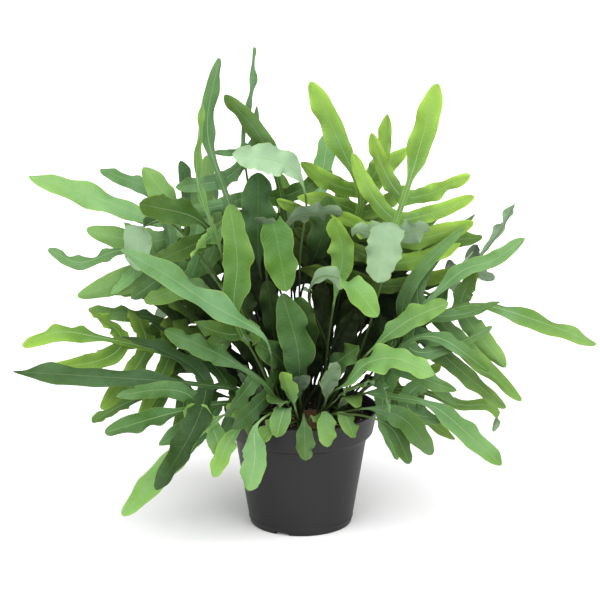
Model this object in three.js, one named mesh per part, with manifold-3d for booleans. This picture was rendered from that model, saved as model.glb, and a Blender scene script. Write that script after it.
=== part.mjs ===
// A polypody fern growing in a plain plastic nursery pot, in millimetres, +Z up.
// The pot stands on z = 0 with its axis on the Z axis, and the fern's front faces -Y.
import * as THREE from "three";
import { mergeVertices } from "three/addons/utils/BufferGeometryUtils.js";
import Module from "manifold-3d";

const wasm = await Module();
wasm.setup();

// Pot: a tapered body, a shoulder, and an outstanding rim band.
const POT_HEIGHT = 132;
const RIM_RADIUS = 85;
const BAND_HEIGHT = 27;
const BAND_TAPER = 6;
const SHOULDER_HEIGHT = 7;
const SHOULDER_STEP = 6.5;
const SHOULDER_STEPS = 2;
const BASE_RADIUS = 56.5;
const POT_WALL = 1.8;
const POT_SIDES = 28;
const DRAIN_SLOTS = 3;
const SLOT_WIDTH = 16;
const SLOT_HEIGHT = 3.8;
const SLOT_DEPTH = 11;
const FIRST_SLOT_ANGLE = -112;
const FOOT_ROUND = 0.6;
const FOOT_ROUND_HEIGHT = 2.4;

// Soil and the creeping rhizome that lies half sunk in it.
const GAP = 0.3;
const SOIL_EDGE_HEIGHT = 116;
const SOIL_MOUND = 5;
const SOIL_LUMP = 0.9;
const SOIL_SIDES = 14;
const SOIL_RINGS = 2;
const SOIL_WALL_GAP = 1;
const SOIL_TOP_INSET = 0.2;
const RHIZOME_ARMS = 4;
const RHIZOME_RADIUS = 6.5;
const RHIZOME_REACH = 50;
const RHIZOME_SIDES = 6;
const RHIZOME_STEPS = 3;
const RHIZOME_DIP = 4;

// Fronds: every blade is a thin waved strip on a square stipe.
const BLADE_HALF_THICKNESS = 0.45;
const STIPE_HALF_WIDTH = 1.15;
const WING_HALF_WIDTH = 3.2;
const ROOT_DEPTH = 11;
const CLEAR_OF_SOIL = 26;
const STIPE_STEP = 70;
const STIPE_RUNOUT = 9;
const HOLE_GAP = 0.9;
const FOOT_SHARE = 0.6;
const FOOT_REACH = 47;
const LOBE_ROWS = [0.24, 0.54, 0.86, 1];
const FEW_LOBE_ROWS = [0.3, 0.74, 1];
const END_ROWS = [0, 0.15, 0.38, 0.65, 0.9, 1];
const STRAP_TAPER = 0.5;
const STRAP_BLUNT = 0.6;
const LOBE_GROWTH = 0.4;
const END_GROWTH = 0.34;
const SPOON_GROWTH = 0.5;
const LOBE_BASE_SHARE = 0.74;
const LOBE_SHARE = 0.92;
const LOBE_BEND = 0.34;
const LOBE_LEAVE = 0.35;
const LOBE_LEAVE_MOST = 1.4;
const LOBE_ANGLE = 46;
const LOBE_ANGLE_LOWER = 22;
const SLANT_GROWTH = 0.3;
const EDGE_WAVE = 1.6;
const WIDTH_WAVE = 0.09;
const WAVE_GROWTH = 0.3;
const CLEARANCE = 0.65;
const SPINE_TRIES = 130;
const LOBE_TRIES = 26;
const SPINE_SPIRAL = 4.5;
const FOOT_SWAY = 0.2;
const LOBE_SPIRAL = 6;
const GOLDEN_ANGLE = Math.PI * (3 - Math.sqrt(5));

const UP = new THREE.Vector3(0, 0, 1);
const TO_FRONT = [0, -1, 0.25];
const HALF_FRONT = [0, -0.8, 1];
const SKYWARD = [0, -0.1, 1];

// The fronds that draw the outline, as the points their blades pass through above the soil.
// width is the end lobe's half width, end its length, and tips are lobes aimed by hand,
// from the end lobe down; pairs counts the lobe pairs, and lobes not aimed follow a rule.
const OUTLINE_FRONDS = [
  { path: [[-54, -70, 153], [-88, -100, 150], [-124, -128, 124], [-189, -140, 55]], face: TO_FRONT,
    width: 12, end: 120, pairs: 1, reach: 36 },
  { path: [[-30, -86, 152], [-48, -104, 142], [-49, -108, 108], [-56, -110, 72]], face: TO_FRONT,
    width: 13, end: 80, pairs: 0 },
  { path: [[-50, -80, 146], [-76, -108, 128], [-98, -124, 84]], face: TO_FRONT, width: 9, end: 60,
    pairs: 1, reach: 36 },
  { path: [[-55, -60, 165], [-115, -85, 184], [-215, -95, 195], [-305, -100, 202]],
    face: HALF_FRONT, width: 14, end: 190, pairs: 2, pitch: 26, tips: [[-195, -70, 232]] },
  { path: [[-65, -10, 220], [-125, -18, 328], [-165, -22, 350], [-225, -25, 376], [-290, -30, 398]],
    face: HALF_FRONT, width: 15, end: 150, pairs: 3, pitch: 26, tips: [[-172, 30, 395], [-230, -30, 340]] },
  { path: [[55, 0, 185], [92, -10, 310], [118, -15, 395], [145, -15, 495]], face: TO_FRONT,
    width: 13, end: 112, pairs: 5, pitch: 26, lobeWidth: 9.5,
    tips: [[75, -5, 440], [182, -5, 394], [55, -5, 418], [186, -22, 374], [184, -40, 350]] },
  { path: [[30, 20, 190], [55, 30, 315], [65, 30, 360], [40, 30, 425], [10, 25, 490]],
    face: TO_FRONT, width: 12, end: 115, pairs: 5, pitch: 26, lobeWidth: 9,
    tips: [[94, 50, 450], [0, 10, 405], [0, 0, 375], [115, 50, 370]] },
  { path: [[65, -12, 152], [130, -16, 228], [185, -20, 253], [270, -18, 230], [322, -16, 208]],
    face: HALF_FRONT, width: 12, end: 140, pairs: 3,
    tips: [[190, -20, 292], [220, -62, 195], [178, 30, 300]] },
  { path: [[-30, 30, 220], [-62, 30, 425], [-52, 30, 480], [-50, 30, 527]], face: [0.7, -1, 0],
    width: 4.5, end: 100, pairs: 1, reach: 50, tips: [[-48, 45, 460]] },
  { path: [[-45, 0, 220], [-76, 0, 355], [-100, 0, 440], [-87, 0, 520]], face: TO_FRONT, width: 8,
    end: 120, pairs: 2, reach: 60 },
  { path: [[-14, 24, 305], [-36, 22, 415], [-82, 18, 477]], face: TO_FRONT, width: 10, end: 115,
    pairs: 2, reach: 75 },
  { path: [[-66, -56, 152], [-120, -100, 160], [-208, -112, 138]], face: TO_FRONT, width: 10,
    end: 85, pairs: 3, lobeRows: FEW_LOBE_ROWS, reach: 60, tips: [[-195, -112, 178], [-150, -125, 128]] },
  { path: [[80, 62, 190], [130, 70, 230], [190, 85, 270], [222, 95, 305], [240, 95, 340]],
    face: [1, -0.1, 0.4], width: 8, end: 70, pairs: 2, reach: 60 },
  { path: [[-40, -50, 190], [-68, -72, 275], [-88, -80, 340], [-108, -80, 405], [-102, -80, 490]],
    face: [1, -0.35, 0], width: 6, end: 130, pairs: 1, reach: 70 },
  { path: [[-42, -70, 195], [-72, -96, 270], [-72, -98, 330], [-84, -92, 396]], face: TO_FRONT,
    width: 15, end: 128, pairs: 1, lobeWidth: 12, tips: [[-112, -106, 258], [-50, -110, 236]] },
  { path: [[75, -40, 240], [97, -60, 345], [92, -85, 358], [80, -104, 300]], face: TO_FRONT,
    width: 18, end: 84, pairs: 1, tips: [[135, -62, 352]] },
  { path: [[80, -20, 180], [125, -30, 245], [175, -30, 295], [205, -30, 305], [240, -30, 330]],
    face: HALF_FRONT, width: 9, end: 120, pairs: 3,
    tips: [[190, 0, 350], [215, -40, 262], [175, -40, 345]] },
  { path: [[75, -60, 175], [115, -75, 228], [145, -85, 235], [200, -95, 200]], face: HALF_FRONT,
    width: 9, end: 85, pairs: 3, tips: [[205, -58, 240], [165, -105, 182]] },
  { path: [[65, -60, 165], [100, -75, 167], [140, -80, 160], [185, -85, 125], [215, -90, 100]],
    face: TO_FRONT, width: 11, end: 110, pairs: 2, reach: 60, tips: [[172, -60, 140]] },
  { path: [[75, -30, 158], [125, -30, 160], [175, -30, 143], [205, -30, 142], [215, -30, 130],
    [210, -30, 112]], face: TO_FRONT, width: 6, end: 100, pairs: 2, reach: 60,
    tips: [[170, -20, 100]] },
  { path: [[52, -76, 152], [80, -98, 165], [110, -108, 163], [140, -113, 135]], face: TO_FRONT,
    width: 12, end: 95, pairs: 0 },
  { path: [[38, -84, 150], [72, -95, 152], [98, -96, 142], [119, -99, 106]], face: TO_FRONT,
    width: 9, end: 62, pairs: 0 },
  { path: [[34, -56, 165], [48, -88, 185], [70, -102, 212], [100, -112, 220], [140, -122, 205]],
    face: HALF_FRONT, width: 17, end: 135, pairs: 0 },
  { path: [[30, -35, 200], [8, -60, 275], [25, -95, 305], [52, -112, 300], [80, -122, 268]],
    face: TO_FRONT, width: 15, end: 112, pairs: 0 },
  { path: [[-1, -58, 165], [-4, -84, 225], [-20, -100, 287]], face: TO_FRONT, width: 17, end: 145,
    pairs: 0 },
  { path: [[-30, -45, 235], [-38, -62, 330], [-30, -82, 358], [-15, -104, 290]], face: TO_FRONT,
    width: 17, end: 105, pairs: 0 },
  { path: [[60, 45, 190], [90, 50, 250], [155, 60, 305], [198, 60, 318]], face: HALF_FRONT,
    width: 9, end: 90, pairs: 3, lobeRows: FEW_LOBE_ROWS, tips: [[160, 75, 338]] },
  { path: [[35, 55, 250], [60, 60, 330], [92, 62, 385], [118, 62, 410]], face: HALF_FRONT,
    width: 9, end: 85, pairs: 3, lobeRows: FEW_LOBE_ROWS, reach: 65 },
  { path: [[-60, -30, 205], [-130, -45, 298], [-190, -54, 322], [-235, -58, 310], [-268, -62, 326]],
    face: HALF_FRONT, width: 8, end: 95, pairs: 3, reach: 70 },
  { path: [[-70, 60, 235], [-125, 62, 335], [-165, 64, 362], [-222, 70, 384]], face: HALF_FRONT,
    width: 9, end: 90, pairs: 3, lobeRows: FEW_LOBE_ROWS, tips: [[-132, 50, 398], [-200, 70, 335]] },
  { path: [[-58, -42, 220], [-105, -68, 285], [-165, -95, 278]], face: HALF_FRONT, width: 11,
    end: 85, pairs: 2, lobeRows: FEW_LOBE_ROWS, tips: [[-160, -95, 322]] },
  { path: [[-80, 20, 190], [-150, 28, 222], [-235, 30, 235]], face: HALF_FRONT, width: 9, end: 85,
    pairs: 3, lobeRows: FEW_LOBE_ROWS, tips: [[-200, 40, 262], [-225, 0, 195]] },
  { path: [[-75, -20, 172], [-140, -30, 200], [-215, -40, 222], [-262, -46, 230], [-300, -50, 216]],
    face: HALF_FRONT, width: 10, end: 95, pairs: 3, tips: [[-228, -40, 252], [-272, -58, 194]] },
  { path: [[-35, -70, 178], [-82, -88, 225], [-142, -95, 268]], face: HALF_FRONT, width: 11,
    end: 95, pairs: 2 },
  { path: [[-65, -35, 150], [-125, -55, 168], [-175, -60, 166], [-220, -62, 147]],
    face: HALF_FRONT, width: 8, end: 70, pairs: 3, lobeRows: FEW_LOBE_ROWS, tips: [[-200, -58, 182]] },
  { path: [[-1, -20, 305], [5, -25, 375], [-12, -38, 410], [-72, -60, 428]], face: HALF_FRONT,
    width: 15, end: 100, pairs: 0 },
];

// Clumps of broad simple leaves and short fronds that fill the front, each clump rising from
// one foot.
const FRONT_CLUMPS = [
  { foot: [-20, -34], leaves: [
    { path: [[-36, -50, 190], [-72, -68, 290], [-99, -86, 354], [-161, -100, 373]],
      face: TO_FRONT, width: 14, end: 72, pairs: 1, lobeWidth: 12, tips: [[-116, -78, 412]] },
    { path: [[-30, -60, 180], [-41, -104, 242], [-100, -122, 286], [-156, -126, 325],
      [-199, -122, 348]], face: HALF_FRONT, width: 15, end: 205 },
  ] },
  { foot: [2, -10], leaves: [
    { path: [[-12, -16, 200], [-42, -18, 278], [-46, -26, 401]], face: TO_FRONT, width: 18,
      end: 110 },
    { path: [[-8, -22, 220], [-28, -40, 306], [-9, -56, 356], [44, -72, 369]], face: TO_FRONT,
      width: 12, end: 62, pairs: 1, lobeWidth: 12, tips: [[2, -60, 404]] },
    { path: [[2, 0, 190], [-1, 10, 251], [23, 0, 325], [31, -6, 371]], face: TO_FRONT,
      width: 14, end: 100 },
  ] },
  { foot: [26, -24], leaves: [
    { path: [[28, -44, 200], [38, -60, 270], [50, -60, 330], [44, -62, 372]], face: TO_FRONT,
      width: 13, end: 95 },
    { path: [[45, -50, 172], [74, -70, 216], [112, -76, 250], [156, -80, 272]],
      face: HALF_FRONT, width: 12, end: 100 },
    { path: [[30, -6, 190], [65, 20, 248], [109, 30, 302], [141, 30, 353]], face: TO_FRONT,
      width: 12, end: 110 },
  ] },
  { foot: [-26, -6], leaves: [
    { path: [[-34, -10, 190], [-70, -14, 240], [-110, -16, 300], [-120, -10, 352]],
      face: TO_FRONT, width: 13, end: 110 },
    { path: [[-30, 0, 200], [-52, 6, 270], [-74, 10, 330]], face: TO_FRONT, width: 13, end: 100 },
    { path: [[-40, -20, 160], [-84, -40, 190], [-130, -50, 205]], face: HALF_FRONT, width: 12,
      end: 90 },
    { path: [[-44, -14, 200], [-95, -34, 290], [-145, -52, 345], [-170, -66, 330],
      [-172, -74, 278]], face: TO_FRONT, width: 15, end: 76 },
  ] },
  { foot: [28, 8], leaves: [
    { path: [[44, 8, 160], [90, 12, 190], [140, 14, 212]], face: HALF_FRONT, width: 15, end: 100 },
    { path: [[36, 16, 190], [62, 26, 240], [84, 30, 292]], face: TO_FRONT, width: 15, end: 100 },
    { path: [[20, 24, 200], [30, 44, 260], [34, 52, 320]], face: TO_FRONT, width: 14, end: 100 },
  ] },
  { foot: [0, -22], leaves: [
    { path: [[-8, -40, 170], [-24, -62, 206], [-46, -84, 228]], face: HALF_FRONT, width: 13,
      end: 66 },
    { path: [[8, -34, 190], [12, -48, 236], [14, -52, 284]], face: TO_FRONT, width: 14, end: 90 },
    { path: [[16, -40, 165], [34, -60, 196], [62, -74, 222]], face: HALF_FRONT, width: 13,
      end: 68 },
    { path: [[-14, -30, 190], [-26, -36, 240], [-34, -34, 290]], face: TO_FRONT, width: 12,
      end: 85 },
  ] },
];

// Clumps of simple leaves that close the middle behind the bare stipes.
const MIDDLE_CLUMPS = [
  { foot: [20, 26], leaves: [
    { path: [[24, 38, 160], [26, 48, 205], [28, 52, 250]], face: TO_FRONT, width: 15, end: 100 },
    { path: [[36, 34, 158], [52, 44, 200], [60, 48, 240]], face: TO_FRONT, width: 15, end: 96 },
    { path: [[42, 30, 150], [66, 42, 186], [84, 50, 226]], face: TO_FRONT, width: 16, end: 92 },
  ] },
  { foot: [8, 44], leaves: [
    { path: [[8, 52, 136], [2, 58, 165], [-2, 60, 196]], face: TO_FRONT, width: 14, end: 68 },
    { path: [[16, 54, 136], [24, 60, 162], [28, 62, 190]], face: TO_FRONT, width: 14, end: 64 },
    { path: [[24, 48, 134], [42, 52, 152], [62, 54, 168]], face: TO_FRONT, width: 13, end: 58 },
    { path: [[6, 58, 160], [2, 70, 230], [0, 78, 296]], face: TO_FRONT, width: 17, end: 110 },
  ] },
  { foot: [6, 5], leaves: [
    { path: [[2, 14, 150], [-6, 22, 200], [-10, 26, 250]], face: TO_FRONT, width: 13, end: 95 },
    { path: [[14, 10, 150], [22, 16, 200], [26, 18, 246]], face: TO_FRONT, width: 13, end: 92 },
    { path: [[8, 2, 148], [10, 0, 186], [14, 0, 220]], face: TO_FRONT, width: 14, end: 78 },
  ] },
  { foot: [-15, -15], leaves: [
    { path: [[-22, -14, 150], [-34, -14, 195], [-44, -14, 238]], face: TO_FRONT, width: 12,
      end: 86 },
    { path: [[-16, -8, 150], [-18, -2, 200], [-18, 2, 246]], face: TO_FRONT, width: 12, end: 90 },
    { path: [[-24, -22, 145], [-48, -30, 172], [-72, -38, 192]], face: HALF_FRONT, width: 11,
      end: 66 },
  ] },
  { foot: [18, -6], leaves: [
    { path: [[28, -10, 148], [40, -12, 190], [50, -14, 230]], face: TO_FRONT, width: 12,
      end: 84 },
    { path: [[22, -2, 150], [24, 4, 200], [26, 8, 240]], face: TO_FRONT, width: 12, end: 88 },
    { path: [[30, -14, 144], [54, -20, 168], [80, -26, 186]], face: HALF_FRONT, width: 11,
      end: 62 },
  ] },
  { foot: [-27, 48], leaves: [
    { path: [[-42, 56, 138], [-66, 62, 166], [-84, 66, 194]], face: TO_FRONT, width: 15,
      end: 84 },
    { path: [[-32, 58, 142], [-42, 68, 185], [-50, 72, 226]], face: TO_FRONT, width: 15,
      end: 90 },
    { path: [[-26, 60, 160], [-40, 74, 230], [-42, 80, 296]], face: TO_FRONT, width: 17,
      end: 110 },
    { path: [[-40, 52, 150], [-72, 64, 215], [-94, 70, 285]], face: TO_FRONT, width: 16,
      end: 105 },
  ] },
];

// Tufts of young undivided leaves round the crown: each leaf a short stipe and a spoon-shaped
// blade, fused where they leave one bud. The front ones are aimed by hand.
const FRONT_TUFTS = [
  { foot: [-4, -38], leaves: [
    { path: [[-12, -62, 142], [-18, -86, 156], [-26, -104, 130]], width: 11, end: 48 },
    { path: [[2, -64, 142], [3, -90, 148], [5, -104, 104]], width: 10, end: 48 },
    { path: [[-6, -52, 152], [-4, -68, 176], [6, -82, 192]], width: 11, end: 52 },
    { path: [[-12, -48, 142], [-32, -66, 158], [-56, -82, 156]], width: 12, end: 48 },
  ] },
  { foot: [20, -37], leaves: [
    { path: [[24, -66, 142], [30, -90, 146], [36, -104, 104]], width: 10, end: 48 },
    { path: [[34, -62, 142], [48, -84, 152], [64, -98, 130]], width: 10, end: 44 },
    { path: [[34, -50, 150], [54, -64, 172], [84, -76, 184]], width: 11, end: 58 },
    { path: [[26, -54, 152], [30, -72, 185], [38, -84, 208]], width: 10, end: 60 },
  ] },
  { foot: [-3, -54], leaves: [
    { path: [[-12, -68, 136], [-26, -84, 150], [-44, -98, 142]], width: 10, end: 44 },
    { path: [[-4, -70, 140], [-12, -84, 162], [-22, -92, 180]], width: 11, end: 46 },
    { path: [[6, -68, 138], [16, -84, 152], [28, -96, 140]], width: 10, end: 44 },
  ] },
];
const TUFT_COUNT = 3;
const TUFT_BEARINGS = [-15, 195];
const TUFT_FOOT = 41;
const TUFT_LEAVES = 3;
const TUFT_FAN = 34;

// A clump or tuft moves as a whole until its foot is clear.
const CLUMP_RADIUS = 1.2;
const CLUMP_SPIRAL = 2.2;
const CLUMP_MOVES = 60;

// Leaves are numbered through all the clumps of a kind, since their draws go by the number.
const FIRST_NUMBERS = { front_clump: 100, tuft: 160, back_clump: 230, middle_clump: 280 };
const NUMBERS_EACH = 10;

// Clumps of fronds at the back, spread by a rule: how many, and the angles they take.
const BACK_COUNT = 4;
const BACK_FRONDS = 3;
const BACK_SPREAD = 190;
const BACK_FAN = 15;
const BACK_FOOT = 30;
const BACK_LENGTH = [270, 350];
const BACK_LIFTS = [14, 34, 54];
const BACK_WIDTH = 11;
const BACK_RISE = 84;

function randomFrom(seed) {
  let state = (seed * 2654435761) % 4294967296;
  return (low, high) => {
    state = (Math.imul(state, 1664525) + 1013904223) >>> 0;
    return low + ((high - low) * state) / 4294967296;
  };
}

function smooth(x) {
  const t = THREE.MathUtils.clamp(x, 0, 1);
  return t * t * (3 - 2 * t);
}

function vector(p) {
  return new THREE.Vector3(p[0], p[1], p[2]);
}

// The part of v that stands square to the unit vector axis.
function squareTo(v, axis) {
  return v.clone().addScaledVector(axis, -v.dot(axis)).normalize();
}

function solidOf(geometry) {
  const bare = geometry.clone();
  bare.deleteAttribute("normal");
  bare.deleteAttribute("uv");
  const merged = mergeVertices(bare, 1e-4);
  return new wasm.Manifold(
    new wasm.Mesh({
      numProp: 3,
      vertProperties: new Float32Array(merged.attributes.position.array),
      triVerts: new Uint32Array(merged.index.array),
    }),
  );
}

function geometryOf(solid) {
  const mesh = solid.getMesh();
  const geometry = new THREE.BufferGeometry();
  geometry.setAttribute("position", new THREE.BufferAttribute(mesh.vertProperties, 3));
  geometry.setIndex(new THREE.BufferAttribute(mesh.triVerts, 1));
  geometry.computeVertexNormals();
  return geometry;
}

// The shoulder is a quarter-cosine step between the band and the body.
function potProfile(inset) {
  const bandFoot = POT_HEIGHT - BAND_HEIGHT;
  const bandFootRadius = RIM_RADIUS - BAND_TAPER;
  const points = [new THREE.Vector2(RIM_RADIUS - inset, POT_HEIGHT)];
  for (let k = 0; k <= SHOULDER_STEPS; k++) {
    const share = k / SHOULDER_STEPS;
    const r = bandFootRadius - SHOULDER_STEP * smooth(share);
    points.push(new THREE.Vector2(r - inset, bandFoot - SHOULDER_HEIGHT * share));
  }
  return points;
}

function makePot() {
  const outer = potProfile(0);
  const inner = potProfile(POT_WALL).reverse();
  const profile = [
    new THREE.Vector2(0, 0),
    new THREE.Vector2(BASE_RADIUS - 3 * FOOT_ROUND, 0),
    new THREE.Vector2(BASE_RADIUS - FOOT_ROUND, FOOT_ROUND),
    new THREE.Vector2(BASE_RADIUS, FOOT_ROUND_HEIGHT),
    ...outer.reverse(),
    ...inner.reverse(),
    new THREE.Vector2(BASE_RADIUS - POT_WALL, POT_WALL),
    new THREE.Vector2(0, POT_WALL),
  ];
  let pot = solidOf(new THREE.LatheGeometry(profile, POT_SIDES).rotateX(Math.PI / 2));
  for (let k = 0; k < DRAIN_SLOTS; k++) {
    const angle = THREE.MathUtils.degToRad(FIRST_SLOT_ANGLE + (360 / DRAIN_SLOTS) * k);
    const slot = new THREE.BoxGeometry(2 * SLOT_DEPTH, SLOT_WIDTH, 2 * SLOT_HEIGHT);
    slot.translate(BASE_RADIUS, 0, 0).rotateZ(angle);
    pot = pot.subtract(solidOf(slot));
  }
  return pot;
}

function soilHeight(radius, angle) {
  const lumps = Math.sin(3 * angle + radius / 9) + Math.sin(5 * angle - radius / 6);
  const mound = SOIL_MOUND * Math.cos((Math.PI / 2) * Math.min(1, radius / RIM_RADIUS));
  return SOIL_EDGE_HEIGHT + mound + SOIL_LUMP * lumps * smooth(radius / 20);
}

function makeSoil() {
  const wall = potProfile(POT_WALL + SOIL_WALL_GAP);
  const bandRadius = wall[0].x - (BAND_TAPER * (POT_HEIGHT - SOIL_EDGE_HEIGHT)) / BAND_HEIGHT;
  const profile = [
    new THREE.Vector2(0, POT_WALL + GAP),
    new THREE.Vector2(BASE_RADIUS - POT_WALL - SOIL_WALL_GAP, POT_WALL + GAP),
    ...wall.slice(1).reverse(),
    new THREE.Vector2(bandRadius - SOIL_TOP_INSET, SOIL_EDGE_HEIGHT),
  ];
  for (let ring = SOIL_RINGS - 1; ring >= 0; ring--) {
    const radius = (bandRadius * ring) / SOIL_RINGS;
    profile.push(new THREE.Vector2(radius, SOIL_EDGE_HEIGHT + SOIL_MOUND));
  }
  const geometry = new THREE.LatheGeometry(profile, SOIL_SIDES).rotateX(Math.PI / 2);
  const position = geometry.attributes.position;
  for (let i = 0; i < position.count; i++) {
    if (position.getZ(i) <= SOIL_EDGE_HEIGHT) continue;
    const x = position.getX(i);
    const y = position.getY(i);
    position.setZ(i, soilHeight(Math.hypot(x, y), Math.atan2(y, x)));
  }
  return solidOf(geometry);
}

// Each arm is a bent tapering tube from the crown's middle outwards, with its end turned down.
function rhizomeArm(number, swell) {
  const turn = (2 * Math.PI * number) / RHIZOME_ARMS;
  const random = randomFrom(900 + number);
  const bend = random(-0.5, 0.5);
  const reach = RHIZOME_REACH * random(0.8, 1.05);
  const points = [];
  for (const part of [0, 0.35, 0.7, 1]) {
    const angle = turn + bend * part;
    const radius = reach * part;
    const height = soilHeight(radius, angle) - RHIZOME_DIP * part * part;
    points.push(new THREE.Vector3(radius * Math.cos(angle), radius * Math.sin(angle), height));
  }
  const curve = new THREE.CatmullRomCurve3(points, false, "centripetal");
  const section = new THREE.Shape();
  const sectionRadius = RHIZOME_RADIUS * random(0.8, 1) + swell;
  for (let k = 0; k < RHIZOME_SIDES; k++) {
    const angle = (2 * Math.PI * k) / RHIZOME_SIDES;
    const x = sectionRadius * Math.cos(angle);
    const y = sectionRadius * Math.sin(angle);
    if (k === 0) section.moveTo(x, y);
    else section.lineTo(x, y);
  }
  section.closePath();
  const arm = new THREE.ExtrudeGeometry(section, { steps: RHIZOME_STEPS, extrudePath: curve });
  return solidOf(arm);
}

function makeRhizome(swell) {
  let rhizome = rhizomeArm(0, swell);
  for (let number = 1; number < RHIZOME_ARMS; number++) {
    rhizome = rhizome.add(rhizomeArm(number, swell));
  }
  return rhizome;
}

// A sheet is a list of points, each with a normal and a half thickness, and triangles on it.
class Sheet {
  constructor() {
    this.points = [];
    this.triangles = [];
  }

  add(place, normal, half) {
    this.points.push({ place, normal, half });
    return this.points.length - 1;
  }

  quad(a, b, c, d, turned) {
    if (turned) this.triangles.push([a, d, c], [a, c, b]);
    else this.triangles.push([a, b, c], [a, c, d]);
  }

  triangle(a, b, c, turned) {
    this.triangles.push(turned ? [a, c, b] : [a, b, c]);
  }

  // Both faces take the same triangles, and every free edge gets a wall between them.
  thicken(swell = 0) {
    const count = this.points.length;
    const places = [];
    for (const side of [1, -1]) {
      for (const { place, normal, half } of this.points) {
        const p = place.clone().addScaledVector(normal, side * (half + swell));
        places.push(p.x, p.y, p.z);
      }
    }
    const edges = new Set();
    for (const [a, b, c] of this.triangles) {
      for (const [from, to] of [[a, b], [b, c], [c, a]]) edges.add(from * count + to);
    }
    const index = [];
    for (const [a, b, c] of this.triangles) {
      index.push(a, b, c, a + count, c + count, b + count);
      for (const [from, to] of [[a, b], [b, c], [c, a]]) {
        if (edges.has(to * count + from)) continue;
        index.push(to, from, from + count, to, from + count, to + count);
      }
    }
    const geometry = new THREE.BufferGeometry();
    geometry.setAttribute("position", new THREE.Float32BufferAttribute(places, 3));
    geometry.setIndex(index);
    return geometry;
  }
}

// A strap-shaped outline: it holds its width past the middle and ends in a blunt point.
function strapWidth(v) {
  const late = Math.max(0, (v - STRAP_TAPER) / (1 - STRAP_TAPER));
  return Math.pow(Math.max(0, 1 - Math.pow(late, 3)), STRAP_BLUNT);
}

// The waved edge: its height off the blade and the share it adds to the width.
function edgeWave(v, waves, phase, side) {
  const swing = Math.sin(2 * Math.PI * waves * v + phase + side) * smooth(v / WAVE_GROWTH);
  return { height: EDGE_WAVE * swing, widen: 1 + WIDTH_WAVE * swing };
}

// The foot of a frond stands inwards of the first point that its path names.
function footOf(frond) {
  const first = vector(frond.path[0]).setZ(0);
  const radius = Math.min(FOOT_SHARE * first.length(), FOOT_REACH);
  return first.setLength(radius);
}

// Sway k moves a frond's tip round a growing spiral, and its foot a little, until it is clear.
function spineCurve(frond, k) {
  const turn = GOLDEN_ANGLE * k + frond.number;
  const reach = SPINE_SPIRAL * Math.sqrt(k);
  const foot = frond.foot ? vector([...frond.foot, 0]) : footOf(frond);
  const shift = frond.foot ? 0 : FOOT_SWAY * reach;
  foot.x += shift * Math.cos(turn);
  foot.y += shift * Math.sin(turn);
  const ground = soilHeight(Math.hypot(foot.x, foot.y), Math.atan2(foot.y, foot.x));
  const tip = vector(frond.path.at(-1));
  const outward = squareTo(tip, UP);
  const side = new THREE.Vector3().crossVectors(UP, outward);
  const points = [
    foot.clone().setZ(ground - ROOT_DEPTH),
    foot.clone().setZ(ground + ROOT_DEPTH),
  ];
  frond.path.forEach((place, i) => {
    const share = ((i + 1) / frond.path.length) ** 2;
    const point = vector(place);
    point.addScaledVector(side, share * reach * Math.cos(turn));
    point.z += share * reach * Math.sin(turn);
    points.push(point);
  });
  const curve = new THREE.CatmullRomCurve3(points, false, "centripetal");
  curve.arcLengthDivisions = 200;
  return curve;
}

// Where the spine is sampled: along the stipe, at both ends of each lobe, and up the end lobe.
function spineStations(frond, length) {
  const endStart = length - frond.end;
  const bladeStart = endStart - frond.pairs * frond.pitch;
  const stations = [];
  const stipeEnd = bladeStart - STIPE_RUNOUT;
  const stipeSteps = Math.max(1, Math.round((stipeEnd - CLEAR_OF_SOIL) / STIPE_STEP));
  stations.push({ s: 0, part: "stipe" });
  for (let k = 0; k <= stipeSteps; k++) {
    const share = k / stipeSteps;
    stations.push({ s: CLEAR_OF_SOIL + (stipeEnd - CLEAR_OF_SOIL) * share, part: "stipe" });
  }
  for (let pair = 0; pair < frond.pairs; pair++) {
    const s = bladeStart + pair * frond.pitch;
    stations.push({ s, part: "wing" });
    stations.push({ s: s + LOBE_BASE_SHARE * frond.pitch, part: "wing" });
  }
  for (const v of frond.pairs ? END_ROWS : END_ROWS.slice(1)) {
    stations.push({ s: endStart + v * frond.end, part: "end", v });
  }
  return stations;
}

function halfWidth(frond, station) {
  if (station.part === "stipe") return STIPE_HALF_WIDTH;
  if (station.part === "wing") return WING_HALF_WIDTH;
  const start = frond.pairs ? WING_HALF_WIDTH : STIPE_HALF_WIDTH;
  const grown = smooth(station.v / (frond.pairs ? END_GROWTH : SPOON_GROWTH));
  return (start + (frond.width - start) * grown) * strapWidth(station.v);
}

// The spine's frames: place, tangent, across and normal at every station. There are none
// when the blade would start too low.
function spineFrames(frond, k) {
  const curve = spineCurve(frond, k);
  const length = curve.getLength();
  const blade = frond.end + frond.pairs * frond.pitch;
  if (length - blade - STIPE_RUNOUT < CLEAR_OF_SOIL) return null;
  const chord = curve.getPoint(1).sub(curve.getPoint(0));
  const acrossAim = vector(frond.face).cross(chord).normalize();
  const stations = spineStations(frond, length);
  return stations.map((station) => {
    const u = station.s / length;
    const place = curve.getPointAt(u);
    const tangent = curve.getTangentAt(u);
    const across = squareTo(acrossAim, tangent);
    across.applyAxisAngle(tangent, frond.twist * u);
    const normal = new THREE.Vector3().crossVectors(tangent, across);
    return { ...station, place, tangent, across, normal, half: halfWidth(frond, station) };
  });
}

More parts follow.
